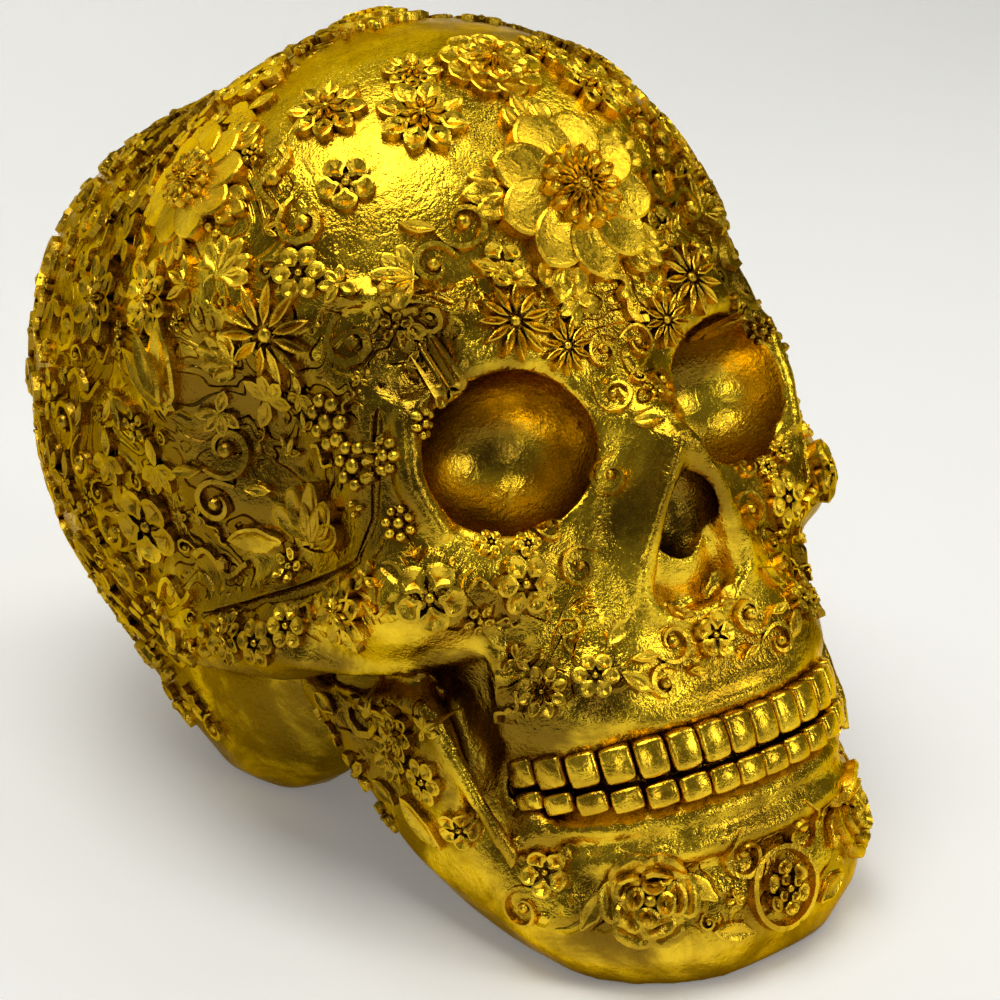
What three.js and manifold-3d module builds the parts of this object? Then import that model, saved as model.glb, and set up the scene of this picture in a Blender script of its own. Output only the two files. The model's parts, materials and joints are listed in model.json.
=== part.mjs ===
// A gold-coated resin sugar skull for a shelf, with its jaw, teeth and pressed-on flowers and scrolls.
// Millimetres, +Z up. The skull faces -Y and stands on the table, tipped back on its jaw and nape.

import * as THREE from "three";
import { mergeVertices } from "three/addons/utils/BufferGeometryUtils.js";
import Module from "manifold-3d";

const wasm = await Module();
wasm.setup();

// Driving dimensions
const headLength = 170;
const headWidth = 126;
const headHeight = 130;
const restTilt = THREE.MathUtils.degToRad(26.5);
const groundOff = 4.35;
const blendRadius = 9;
const ridgeBlend = 6;
const hollowBlend = 6;
const seatGap = 0.35;

// Eye sockets and nose opening
const socketWidth = 29.5;
const socketHeight = 26;
const socketDepth = 34;
const noseWidth = 21;
const noseHeight = 27;
const noseDepth = 24;

// Raised ornament
const flowerRadius = 10;
const reliefHeight = 2.4;
const smallReliefShare = 0.45;
const plainFlowerRadius = 5;
const leafLift = 0.25;
const seatSink = 1;
const probeSpreadShare = 0.6;
const fanSpread = THREE.MathUtils.degToRad(34);

// Teeth
const teethPerRow = 16;
const toothArchWidth = 63;
const toothArchDepth = 32;
const toothArchTurn = THREE.MathUtils.degToRad(86);
const archSquareness = 2.6;
const toothDepth = 6;
const upperToothHeight = 10;
const lowerToothHeight = 8.5;
const biteGap = 1.6;

const halfHead = new THREE.Vector3(headWidth / 2, headLength / 2, headHeight / 2);

// A point or size given as shares of half the head's width, length and height.
function ofHead([x, y, z]) {
  return new THREE.Vector3(x, y, z).multiply(halfHead);
}

// Rounded bone forms as ellipsoids, ridges as round bars, and the hollows that are sunk into them
const boneShares = [
  { name: "braincase", at: [0, 0.14, -0.03], size: [0.96, 0.84, 0.93] },
  { name: "parietal", at: [0.26, 0.24, 0.27], size: [0.59, 0.56, 0.645], pair: true },
  { name: "forehead", at: [0, -0.26, 0.12], size: [0.92, 0.59, 0.82] },
  { name: "occiput", at: [0, 0.44, -0.44], size: [0.7, 0.48, 0.6] },
  { name: "face", at: [0, -0.45, -0.38], size: [0.7, 0.4, 0.44] },
  { name: "brow", at: [0.3, -0.7, -0.08], size: [0.34, 0.13, 0.1], pair: true },
  { name: "orbit rim", at: [0.6, -0.62, -0.34], size: [0.11, 0.1, 0.28], pair: true },
  { name: "cheek", at: [0.62, -0.6, -0.62], size: [0.19, 0.16, 0.15], pair: true },
  { name: "under eye", at: [0.36, -0.67, -0.62], size: [0.24, 0.13, 0.14], pair: true },
  { name: "maxilla", at: [0, -0.58, -0.82], size: [0.56, 0.27, 0.34] },
  { name: "tooth ridge", at: [0.28, -0.66, -1.02], size: [0.23, 0.2, 0.16], pair: true },
  { name: "tooth bed", at: [0, -0.6, -1.02], size: [0.5, 0.27, 0.16] },
  { name: "skull base", at: [0, 0.1, -0.72], size: [0.6, 0.5, 0.34] },
  { name: "nape side", at: [0.44, 0.3, -0.72], size: [0.25, 0.34, 0.4], pair: true },
  { name: "throat", at: [0, -0.44, -1.16], size: [0.45, 0.38, 0.46] },
];
const ridgeShares = [
  { name: "nose bridge", from: [0, -0.74, -0.2], to: [0, -0.91, -0.43], thick: 0.085 },
  { name: "nose rim", from: [0, -0.91, -0.43], to: [0.19, -0.8, -0.82], thick: 0.085, pair: true },
  { name: "cheek arch", from: [0.62, -0.52, -0.64], to: [0.77, -0.26, -0.62], thick: 0.14, pair: true },
  { name: "ear arch", from: [0.77, -0.26, -0.62], to: [0.78, 0.04, -0.54], thick: 0.14, pair: true },
];
const hollowShares = [
  { name: "temple", at: [0.98, -0.5, -0.12], size: [0.26, 0.22, 0.3], pair: true },
];

// How far below the braincase's centre a bone form reaches once the head is tipped back
function reachBelow({ at, size }) {
  const up = new THREE.Vector3(0, -Math.sin(restTilt), Math.cos(restTilt));
  return ofHead(size).multiply(up).length() - ofHead(at).dot(up);
}

// The head's own frame has its origin at the braincase's centre and looks level along -Y.
// It stands on its nape, which is ground flat.
const napeForm = boneShares.find(({ name }) => name === "nape side");
const restHeight = reachBelow(napeForm) - groundOff;
const standing = new THREE.Matrix4()
  .makeTranslation(0, 0, restHeight)
  .multiply(new THREE.Matrix4().makeRotationX(-restTilt));

function mirrored(point, side) {
  const [x, y, z] = point;
  return ofHead([side * x, y, z]);
}

function sidesOf({ pair }) {
  return pair ? [1, -1] : [1];
}

const bones = boneShares.flatMap((bone) =>
  sidesOf(bone).map((side) => ({ centre: mirrored(bone.at, side), radii: ofHead(bone.size) })),
);
const ridges = ridgeShares.flatMap((ridge) =>
  sidesOf(ridge).map((side) => ({
    line: new THREE.Line3(mirrored(ridge.from, side), mirrored(ridge.to, side)),
    radius: ridge.thick * halfHead.x,
  })),
);
const hollows = hollowShares.flatMap((hollow) =>
  sidesOf(hollow).map((side) => ({ centre: mirrored(hollow.at, side), radii: ofHead(hollow.size) })),
);

function ellipsoidDistance(p, { centre, radii }) {
  const x = (p.x - centre.x) / radii.x;
  const y = (p.y - centre.y) / radii.y;
  const z = (p.z - centre.z) / radii.z;
  const near = Math.hypot(x, y, z);
  const slope = Math.hypot(x / radii.x, y / radii.y, z / radii.z);
  return slope > 0 ? (near * (near - 1)) / slope : -Math.min(radii.x, radii.y, radii.z);
}

const nearest = new THREE.Vector3();

function ridgeDistance(p, { line, radius }) {
  line.closestPointToPoint(p, true, nearest);
  return nearest.distanceTo(p) - radius;
}

function smoothMin(a, b, radius) {
  const h = Math.max(radius - Math.abs(a - b), 0) / radius;
  return Math.min(a, b) - (h * h * radius) / 4;
}

// Distance from the head's smooth outer skin, in the head's frame, negative inside.
function skinDistance(p) {
  let d = Infinity;
  for (const bone of bones) {
    const one = ellipsoidDistance(p, bone);
    d = d === Infinity ? one : smoothMin(d, one, blendRadius);
  }
  for (const hollow of hollows) {
    d = -smoothMin(-d, ellipsoidDistance(p, hollow), hollowBlend);
  }
  const ridge = Math.min(...ridges.map((one) => ridgeDistance(p, one)));
  return smoothMin(d, ridge, ridgeBlend);
}

// Solids as manifold-3d sees them, and back again
const weldDistance = 1e-4;
const unitWeld = 1e-5;

function solid(geometry) {
  const bare = geometry.clone();
  for (const name of Object.keys(bare.attributes)) {
    if (name !== "position") bare.deleteAttribute(name);
  }
  const merged = mergeVertices(bare, weldDistance);
  return new wasm.Manifold(
    new wasm.Mesh({
      numProp: 3,
      vertProperties: merged.attributes.position.array,
      triVerts: new Uint32Array(merged.index.array),
    }),
  );
}

function geometryOf(manifold) {
  const mesh = manifold.getMesh();
  const geometry = new THREE.BufferGeometry();
  geometry.setAttribute("position", new THREE.BufferAttribute(mesh.vertProperties, 3));
  geometry.setIndex(new THREE.BufferAttribute(mesh.triVerts, 1));
  return geometry;
}

// A ball whose points are pushed out along their rays onto the skin, or past it by an offset
const rayCentreShares = [0, -0.12, -0.2];
const faceLeanShares = [0, -0.48, -0.4];
const rayStep = 1.5;
const rayHalvings = 20;

function skinGeometry(detail, grown) {
  const unitBall = new THREE.IcosahedronGeometry(1, detail).deleteAttribute("normal").deleteAttribute("uv");
  const ball = mergeVertices(unitBall, unitWeld);
  const position = ball.getAttribute("position");
  const start = ofHead(rayCentreShares);
  const lean = new THREE.Vector3(...faceLeanShares);
  const ray = new THREE.Vector3();
  const p = new THREE.Vector3();
  for (let i = 0; i < position.count; i++) {
    ray.fromBufferAttribute(position, i).add(lean).normalize();
    let inner = 0;
    for (let t = rayStep; t < headLength; t += rayStep) {
      p.copy(start).addScaledVector(ray, t);
      if (skinDistance(p) < grown) inner = t;
    }
    let outer = inner + rayStep;
    for (let k = 0; k < rayHalvings; k++) {
      const middle = (inner + outer) / 2;
      p.copy(start).addScaledVector(ray, middle);
      if (skinDistance(p) < grown) inner = middle;
      else outer = middle;
    }
    p.copy(start).addScaledVector(ray, outer);
    position.setXYZ(i, p.x, p.y, p.z);
  }
  return ball;
}

// A closed skin over rings of points, with a middle point at each end.
function ringLoft(rings) {
  const around = rings[0].length;
  const points = rings.flat();
  const middle = (ring) => ring.reduce((sum, q) => sum.add(q), new THREE.Vector3()).divideScalar(ring.length);
  points.push(middle(rings[0]), middle(rings[rings.length - 1]));
  const index = [];
  for (let i = 0; i + 1 < rings.length; i++) {
    for (let j = 0; j < around; j++) {
      const a = i * around + j;
      const b = i * around + ((j + 1) % around);
      index.push(a, a + around, b, b, a + around, b + around);
    }
  }
  const first = points.length - 2;
  const last = points.length - 1;
  const end = (rings.length - 1) * around;
  for (let j = 0; j < around; j++) {
    const next = (j + 1) % around;
    index.push(first, j, next);
    index.push(last, end + next, end + j);
  }
  const geometry = new THREE.BufferGeometry().setFromPoints(points);
  geometry.setIndex(index);
  return geometry;
}

// Eye socket: a deep bowl turned a little outwards
const socketShares = [0.38, -0.79, -0.34];
const socketYaw = THREE.MathUtils.degToRad(16);
const socketPitch = THREE.MathUtils.degToRad(2);
const bowlAround = 22;
const bowlRings = 12;

function socketBowl(side) {
  const bowl = new THREE.SphereGeometry(1, bowlAround, bowlRings);
  bowl.scale(socketWidth / 2, socketDepth / 2, socketHeight / 2);
  bowl.rotateX(socketPitch);
  bowl.rotateZ(side * socketYaw);
  const at = ofHead([side * socketShares[0], socketShares[1], socketShares[2]]);
  bowl.translate(at.x, at.y, at.z);
  return solid(bowl);
}

// Nose opening: a pear outline that narrows as it goes in
const noseShares = [0, -1.06, -0.7];
const noseOutlineShares = [
  [0, 0.5],
  [0.2, 0.38],
  [0.36, 0.08],
  [0.5, -0.3],
  [0.34, -0.5],
  [0.1, -0.46],
  [0, -0.4],
];
const noseRingShares = [
  { inward: 0, wide: 1.1 },
  { inward: 0.35, wide: 0.98 },
  { inward: 0.8, wide: 0.84 },
  { inward: 1, wide: 0.5 },
];

function noseCut() {
  const outline = [
    ...noseOutlineShares,
    ...noseOutlineShares.slice(1, -1).reverse().map(([u, v]) => [-u, v]),
  ];
  const at = ofHead(noseShares);
  const rings = noseRingShares.map(({ inward, wide }) =>
    outline.map(([u, v]) => {
      const across = u * wide * noseWidth;
      const up = v * wide * noseHeight;
      return new THREE.Vector3(at.x - across, at.y + inward * noseDepth, at.z + up);
    }),
  );
  return solid(ringLoft(rings));
}

// Jaw: a bent wall, given by stations from the chin to the back of the ramus
const jawShares = [
  { x: 0, y: -0.79, low: -1.8, high: -1.36, thick: 0.2 },
  { x: 0.2, y: -0.77, low: -1.8, high: -1.36, thick: 0.2 },
  { x: 0.38, y: -0.7, low: -1.76, high: -1.35, thick: 0.18 },
  { x: 0.49, y: -0.62, low: -1.7, high: -1.32, thick: 0.16 },
  { x: 0.55, y: -0.54, low: -1.62, high: -1.2, thick: 0.14 },
  { x: 0.59, y: -0.47, low: -1.56, high: -0.9, thick: 0.12 },
  { x: 0.61, y: -0.39, low: -1.48, high: -0.86, thick: 0.12 },
  { x: 0.63, y: -0.32, low: -1.36, high: -0.86, thick: 0.12 },
  { x: 0.65, y: -0.24, low: -1.08, high: -0.8, thick: 0.11 },
  { x: 0.66, y: -0.14, low: -0.88, high: -0.7, thick: 0.08 },
];
const jawRings = 34;
const jawSides = 12;
const jawSquareness = 1.5;
const jawTuck = 6;

// A loop of points round a rounded box in the plane of two directions
function boxRing(centre, across, up, halfAcross, halfUp, count) {
  return Array.from({ length: count }, (_, j) => {
    const a = (j / count) * 2 * Math.PI;
    const c = Math.cos(a);
    const s = Math.sin(a);
    const power = 2 * jawSquareness;
    const swell = (Math.abs(c) ** power + Math.abs(s) ** power) ** (-1 / power);
    return centre
      .clone()
      .addScaledVector(across, c * swell * halfAcross)
      .addScaledVector(up, s * swell * halfUp);
  });
}

function jawWall(grown) {
  const stations = [...jawShares.slice(1).reverse().map((s) => ({ ...s, x: -s.x })), ...jawShares];
  const line = new THREE.CatmullRomCurve3(stations.map(({ x, y }) => ofHead([x, y, 0])));
  const along = (key, scale) =>
    new THREE.CatmullRomCurve3(stations.map((s, i) => new THREE.Vector3(i, s[key] * scale, 0)));
  const low = along("low", halfHead.z);
  const high = along("high", halfHead.z);
  const thick = along("thick", halfHead.x);
  const up = new THREE.Vector3(0, 0, 1);
  const rings = [];
  for (let i = 0; i <= jawRings; i++) {
    const t = i / jawRings;
    const across = new THREE.Vector3().crossVectors(line.getTangent(t), up).normalize();
    const bottom = low.getPoint(t).y;
    const top = high.getPoint(t).y;
    const centre = line.getPoint(t).setZ((bottom + top) / 2);
    const halfThick = thick.getPoint(t).y / 2 + grown;
    const ring = boxRing(centre, across, up, halfThick, (top - bottom) / 2 + grown, jawSides);
    for (const p of ring) {
      const below = Math.max(0, (centre.z - p.z) / (centre.z - bottom));
      p.addScaledVector(across, -jawTuck * below * below);
    }
    rings.push(ring);
  }
  return solid(ringLoft(rings));
}

// Teeth stand along a horseshoe line, and the bite rises towards the back.
const archFrontShare = -0.876;
const biteHeightShare = -1.245;
const biteRiseShare = 0.08;
const backToothShare = 0.62;
const archSteps = 60;

function toothPoint(turn) {
  const sine = Math.sin(turn);
  const cosine = Math.cos(turn);
  const power = 2 / archSquareness;
  const x = (toothArchWidth / 2) * Math.sign(sine) * Math.abs(sine) ** power;
  const y = archFrontShare * halfHead.y + toothArchDepth * (1 - Math.abs(cosine) ** power);
  return new THREE.Vector3(x, y, 0);
}

function toothLine() {
  const turns = Array.from({ length: archSteps + 1 }, (_, i) => (2 * (i / archSteps) - 1) * toothArchTurn);
  return new THREE.CatmullRomCurve3(turns.map(toothPoint));
}

// One row is a single bar whose section shrinks at the groove between two teeth.
const toothSectionShares = [
  { along: 0, wide: 0.72, high: 0.86 },
  { along: 0.16, wide: 1, high: 1 },
  { along: 0.84, wide: 1, high: 1 },
];
const toothSides = 6;

function toothRow(height, top) {
  const line = toothLine();
  const up = new THREE.Vector3(0, 0, 1);
  const side = top ? 1 : -1;
  const rings = [];
  const stations = Array.from({ length: teethPerRow }, (_, i) =>
    toothSectionShares.map((section) => ({ ...section, t: (i + section.along) / teethPerRow })),
  ).flat();
  stations.push({ ...toothSectionShares[0], t: 1 });
  for (const { t, wide, high } of stations) {
    const back = (2 * t - 1) ** 2;
    const near = (biteHeightShare + biteRiseShare * back) * halfHead.z + (side * biteGap) / 2;
    const rise = (height * (1 - (1 - backToothShare) * back)) / 2;
    const centre = line.getPointAt(t).setZ(near + side * rise);
    const across = new THREE.Vector3().crossVectors(line.getTangentAt(t), up).normalize();
    rings.push(boxRing(centre, across, up, (toothDepth / 2) * wide, rise * high, toothSides));
  }
  return solid(ringLoft(rings));
}

// Everything below the table is ground flat.
const slabShare = 4;

function aboveTable(manifold) {
  const side = headLength * slabShare;
  const slab = new THREE.BoxGeometry(side, side, side).translate(0, 0, -side / 2);
  return manifold.subtract(solid(slab));
}

function stood(manifold) {
  return solid(geometryOf(manifold).applyMatrix4(standing));
}

const skinDetail = 11;

function carvedCranium() {
  const skin = solid(skinGeometry(skinDetail, 0));
  return skin.subtract(socketBowl(1)).subtract(socketBowl(-1)).subtract(noseCut());
}

// Raised ornament is drawn flat first, as u across, v up and h off the ground.
// A rosette has rings that run from its underside over the edge to its middle.
function rosette(outline, rings, peak) {
  const around = outline.length;
  const loops = rings.map(({ wide, high }) =>
    [...outline].reverse().map(([u, v]) => new THREE.Vector3(u * wide, v * wide, high)),
  );
  const points = [new THREE.Vector3(0, 0, 0), ...loops.flat(), new THREE.Vector3(0, 0, peak)];
  const index = [];
  for (let j = 0; j < around; j++) {
    const next = (j + 1) % around;
    index.push(0, 1 + next, 1 + j);
    for (let i = 0; i + 1 < loops.length; i++) {
      const a = 1 + i * around + j;
      const b = 1 + i * around + next;
      index.push(a, b, a + around, b, b + around, a + around);
    }
    const top = 1 + (loops.length - 1) * around;
    index.push(points.length - 1, top + j, top + next);
  }
  const geometry = new THREE.BufferGeometry().setFromPoints(points);
  geometry.setIndex(index);
  return geometry;
}

// The sloped edge of a small ornament
const edgeWideShare = 0.8;
const edgeHighShare = 0.7;

function edgeRings(thick) {
  return [
    { wide: 1, high: 0 },
    { wide: edgeWideShare, high: thick * edgeHighShare },
  ];
}

// Petals round a circle; each has a notch on either side and a rounded tip.
const petalTurnShares = [0, 0.3, 0.7];
const petalReachShares = [0.72, 1, 1];
const eyeWideShare = 0.3;
const eyeHighShare = 0.5;

function flower({ radius, petals, thick }) {
  const outline = [];
  for (let i = 0; i < petals; i++) {
    petalTurnShares.forEach((share, k) => {
      const turn = ((i + share) / petals) * 2 * Math.PI;
      const reach = radius * petalReachShares[k];
      outline.push([Math.sin(turn) * reach, Math.cos(turn) * reach]);
    });
  }
  const rings = edgeRings(thick);
  if (radius > plainFlowerRadius) rings.push({ wide: eyeWideShare, high: thick * eyeHighShare });
  return rosette(outline, rings, thick);
}

// A pointed leaf that lies along v
const leafOutlineShares = [
  [0, -0.5],
  [0.2, -0.2],
  [0.18, 0.16],
  [0, 0.5],
];

function leaf({ radius, thick }) {
  const right = leafOutlineShares.map(([u, v]) => [u * radius, v * radius]);
  const left = leafOutlineShares.slice(1, -1).reverse().map(([u, v]) => [-u * radius, v * radius]);
  return rosette([...left.reverse(), ...right.reverse()], edgeRings(thick), thick);
}

// A fan of pointed leaves that grow from one foot
const fanLeafShares = [
  { turn: -0.5, reach: 0.4 },
  { turn: -0.24, reach: 0.8 },
  { turn: 0, reach: 1 },
  { turn: 0.24, reach: 0.8 },
];
const fanFootShare = 0.2;

function fan({ radius, petals, thick }) {
  const outline = [];
  for (let i = 0; i < petals; i++) {
    for (const { turn, reach } of fanLeafShares) {
      const angle = (i + turn - (petals - 1) / 2) * fanSpread;
      outline.push([Math.sin(angle) * reach * radius, Math.cos(angle) * reach * radius]);
    }
  }
  outline.push([0, -fanFootShare * radius]);
  return rosette(outline, edgeRings(thick), thick);
}

// A scroll: a bar that curls in towards its eye, thickest halfway.
const scrollSteps = 14;
const scrollTurnShare = 1.35;
const scrollEyeShare = 0.22;
const scrollEndShare = 0.1;
const scrollSwellShare = 0.06;
const scrollRidgeShare = 0.5;

function scroll({ radius, thick, hand }) {
  const rings = Array.from({ length: scrollSteps + 1 }, (_, i) => {
    const t = i / scrollSteps;
    const turn = t * scrollTurnShare * 2 * Math.PI;
    const reach = radius * (1 - (1 - scrollEyeShare) * t);
    const half = radius * (scrollEndShare + scrollSwellShare * Math.sin(Math.PI * t));
    const ridge = half * scrollRidgeShare;
    const out = new THREE.Vector3(hand * Math.sin(turn), -Math.cos(turn), 0);
    const line = out.clone().multiplyScalar(reach);
    const rise = new THREE.Vector3(0, 0, thick);
    const ring = [
      line.clone().addScaledVector(out, half),
      line.clone().addScaledVector(out, ridge).add(rise),
      line.clone().addScaledVector(out, -ridge).add(rise),
      line.clone().addScaledVector(out, -half),
    ];
    return hand > 0 ? ring : ring.reverse();
  });
  return ringLoft(rings);
}

const shapes = { flower, leaf, fan, scroll };

// Ornament: `at` is where a piece lies, as shares of half the head; `size` is a share of the flower radius.
// Its rays aim at the head's middle on the dome, and across the bone on the face, the jaw and the sides.
const aimShares = {
  dome: [0, 0, 0],
  face: [0.4, 0.1, 0.9],
  side: [0, 1, 1],
  jaw: [0.4, 0.2, 1],
  ramus: [0, 1, 1],
};
const bigWreathShares = { size: 0.74, out: 1.46, count: 10 };
const smallWreathShares = { size: 0.66, out: 1.24, count: 8 };
const leafTurnShare = 0.5;
const middleShares = [
  { name: "forehead_flower", at: [0, -0.83, 0.25], size: 1.3, petals: 10, wreath: bigWreathShares },
  { name: "crown_flower", at: [0, -0.71, 0.65], size: 0.8, petals: 8 },
  { name: "top_dahlia", at: [0, -0.34, 0.95], size: 1.1, petals: 10 },
  { name: "rear_dahlia", at: [0, 0.88, 0.2], size: 1.3, petals: 10, wreath: bigWreathShares },
  { name: "chin_medallion", on: "jaw", at: [0, -0.86, -1.6], size: 0.6, petals: 8 },
];
const pairShares = [
  { name: "upper_daisy", at: [0.29, -0.73, 0.54], size: 0.66, petals: 8 },
  { name: "outer_daisy", at: [0.47, -0.62, 0.64], size: 0.6, petals: 7 },
  { name: "small_flower", at: [0.53, -0.68, 0.42], size: 0.46, petals: 5 },
  { name: "side_dahlia", at: [0.74, -0.39, 0.57], size: 1.1, petals: 8, wreath: smallWreathShares },
  { name: "temple_flower", at: [0.77, -0.54, 0.12], size: 0.7, petals: 8 },
  { name: "tulip_leaves", at: [0.92, -0.27, 0.06], shape: "fan", size: 1.1, petals: 3 },
  { name: "side_scroll", at: [0.82, -0.3, -0.17], shape: "scroll", size: 0.76 },
  { name: "berry_rosette", at: [0.74, -0.62, -0.14], size: 0.56, petals: 7 },
  { name: "leaf_fan", at: [0.73, -0.46, -0.4], shape: "fan", size: 0.9, petals: 5 },
  { name: "back_flower", at: [0.88, -0.03, 0.4], size: 0.84, petals: 8 },
  { name: "low_flower", at: [0.92, -0.02, -0.24], size: 0.76, petals: 8 },
  { name: "back_scroll", at: [0.94, 0.14, 0.06], shape: "scroll", size: 0.8 },
  { name: "top_flower", at: [0.46, -0.38, 0.82], size: 0.7, petals: 6 },
  { name: "brow_flower", on: "face", at: [0.3, -0.84, -0.03], size: 0.54, petals: 8 },
  { name: "eye_side_flower", on: "face", at: [0.66, -0.7, -0.26], size: 0.4, petals: 6 },
  { name: "under_eye_flower", on: "face", at: [0.46, -0.8, -0.66], size: 0.52, petals: 6 },
  { name: "cheek_flower", on: "face", at: [0.69, -0.73, -0.62], size: 0.54, petals: 5 },
  { name: "cheek_daisy", on: "side", at: [0.8, -0.55, -0.6], size: 0.62, petals: 8 },
  { name: "arch_flower", on: "side", at: [0.9, -0.3, -0.62], size: 0.42, petals: 6 },
  { name: "mouth_flower", on: "face", at: [0.46, -0.74, -0.93], size: 0.42, petals: 6 },
  { name: "nose_scroll", on: "face", at: [0.3, -0.84, -0.66], shape: "scroll", size: 0.38 },
  { name: "lip_scroll", on: "face", at: [0.16, -0.87, -0.95], shape: "scroll", size: 0.46 },
  { name: "jaw_rose", on: "jaw", at: [0.36, -0.79, -1.5], size: 0.84, petals: 6 },
  { name: "ramus_flower", on: "ramus", at: [0.7, -0.42, -1], size: 0.5, petals: 8 },
  { name: "ramus_leaf", on: "ramus", at: [0.7, -0.43, -1.2], shape: "leaf", size: 0.8 },
];

// Ornament is laid on the carved surface below it, with a seat gap, by rays from straight above.
const sight = new THREE.Raycaster();
const probeReach = 60;

function ground(carrier, origin, direction) {
  sight.set(origin, direction);
  const hits = sight.intersectObject(carrier, false);
  return hits.length ? hits[0].point : null;
}

function siteOf(carrier, [x, y, z], side, aim, spread) {
  const target = ofHead([side * x, y, z]).applyMatrix4(standing);
  const centre = ofHead([side * aim[0], aim[1], aim[2]]).applyMatrix4(standing);
  const inward = new THREE.Vector3().subVectors(centre, target).normalize();
  const start = target.clone().addScaledVector(inward, -probeReach);
  const touch = ground(carrier, start, inward);
  if (!touch) throw new Error("nothing below an ornament");
  const up = new THREE.Vector3(0, 0, 1).applyMatrix4(new THREE.Matrix4().extractRotation(standing));
  const across = new THREE.Vector3().crossVectors(up, inward).normalize();
  const rise = new THREE.Vector3().crossVectors(inward, across).normalize();
  const feel = (du, dv) => {
    const from = start.clone().addScaledVector(across, du * spread).addScaledVector(rise, dv * spread);
    return ground(carrier, from, inward) ?? touch;
  };
  const alongU = new THREE.Vector3().subVectors(feel(1, 0), feel(-1, 0));
  const alongV = new THREE.Vector3().subVectors(feel(0, 1), feel(0, -1));
  const normal = new THREE.Vector3().crossVectors(alongU, alongV).normalize();
  if (normal.dot(inward) > 0) normal.negate();
  const v = rise.clone().addScaledVector(normal, -rise.dot(normal)).normalize();
  const u = new THREE.Vector3().crossVectors(v, normal).normalize();
  return { touch, u, v, normal };
}

// A flat shape is wrapped onto the surface at a site; its foot goes a little below, for the seat to cut.
function wrapped(carrier, site, flat) {
  const position = flat.getAttribute("position");
  const down = site.normal.clone().negate();
  const start = new THREE.Vector3();
  for (let i = 0; i < position.count; i++) {
    start
      .copy(site.touch)
      .addScaledVector(site.u, position.getX(i))
      .addScaledVector(site.v, position.getY(i))
      .addScaledVector(site.normal, probeReach / 2);
    const base = ground(carrier, start, down);
    if (!base) throw new Error("an ornament hangs over an edge");
    const high = position.getZ(i);
    base.addScaledVector(site.normal, high > leafLift ? seatGap + high : high - seatSink);
    position.setXYZ(i, base.x, base.y, base.z);
  }
  return solid(flat);
}

// One piece of ornament, or a flower with a wreath of leaves that grow out from under its petals
function flatShapes({ shape = "flower", size, petals, wreath }, hand) {
  const full = { radius: size * flowerRadius, petals, thick: thicknessOf(size), hand };
  const flats = [shapes[shape](full)];
  if (!wreath) return flats;
  for (let i = 0; i < wreath.count; i++) {
    const turn = (hand * (i + leafTurnShare) * 2 * Math.PI) / wreath.count;
    const out = wreath.out * flowerRadius;
    const one = leaf({ radius: wreath.size * flowerRadius, thick: thicknessOf(wreath.size) });
    flats.push(one.rotateZ(-turn).translate(Math.sin(turn) * out, Math.cos(turn) * out, leafLift));
  }
  return flats;
}

function thicknessOf(size) {
  return reliefHeight * Math.min(1, smallReliefShare + size * (1 - smallReliefShare));
}

function ornament(piece, side) {
  const { at, on = "dome", size } = piece;
  const inJaw = on === "jaw" || on === "ramus";
  const carrier = inJaw ? jaw : cranium;
  const aim = at.map((value, k) => value * aimShares[on][k]);
  const site = siteOf(carrier, at, side, aim, size * flowerRadius * probeSpreadShare);
  const solids = flatShapes(piece, side).map((flat) => wrapped(carrier, site, flat));
  return solids.reduce((sum, one) => sum.add(one)).subtract(inJaw ? jawSeat : craniumSeat);
}

const skull = new THREE.Group();
const gold = { color: 0xd9a018, metalness: 1, roughness: 0.3 };

function addPiece(name, manifold) {
  const mesh = new THREE.Mesh(geometryOf(manifold), new THREE.MeshStandardMaterial(gold));
  mesh.name = name;
  skull.add(mesh);
  return mesh;
}

const cranium = addPiece("cranium", aboveTable(stood(carvedCranium())));
const keepOut = solid(skinGeometry(skinDetail, seatGap));
const jaw = addPiece("jaw", aboveTable(stood(jawWall(0).subtract(keepOut))));
const craniumSeat = stood(keepOut);
const jawSeat = stood(jawWall(seatGap));
addPiece("upper_teeth", stood(toothRow(upperToothHeight, true).subtract(keepOut)));
const lowerTeeth = toothRow(lowerToothHeight, false).subtract(keepOut).subtract(jawWall(seatGap));
addPiece("lower_teeth", stood(lowerTeeth));

for (const piece of middleShares) {
  addPiece(piece.name, ornament(piece, 1));
}
for (const piece of pairShares) {
  addPiece(`${piece.name}_right`, ornament(piece, -1));
  addPiece(`${piece.name}_left`, ornament(piece, 1));
}

// The origin is under the middle of the whole piece, on the table.
const extent = new THREE.Box3().setFromObject(skull);
const middle = extent.getCenter(new THREE.Vector3());
skull.position.set(-middle.x, -middle.y, -extent.min.z);

export default skull;
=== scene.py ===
import itertools
import json
import math
import random

import bmesh
import bpy
from mathutils import Matrix, Vector
from mathutils.bvhtree import BVHTree
from mathutils.kdtree import KDTree

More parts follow.
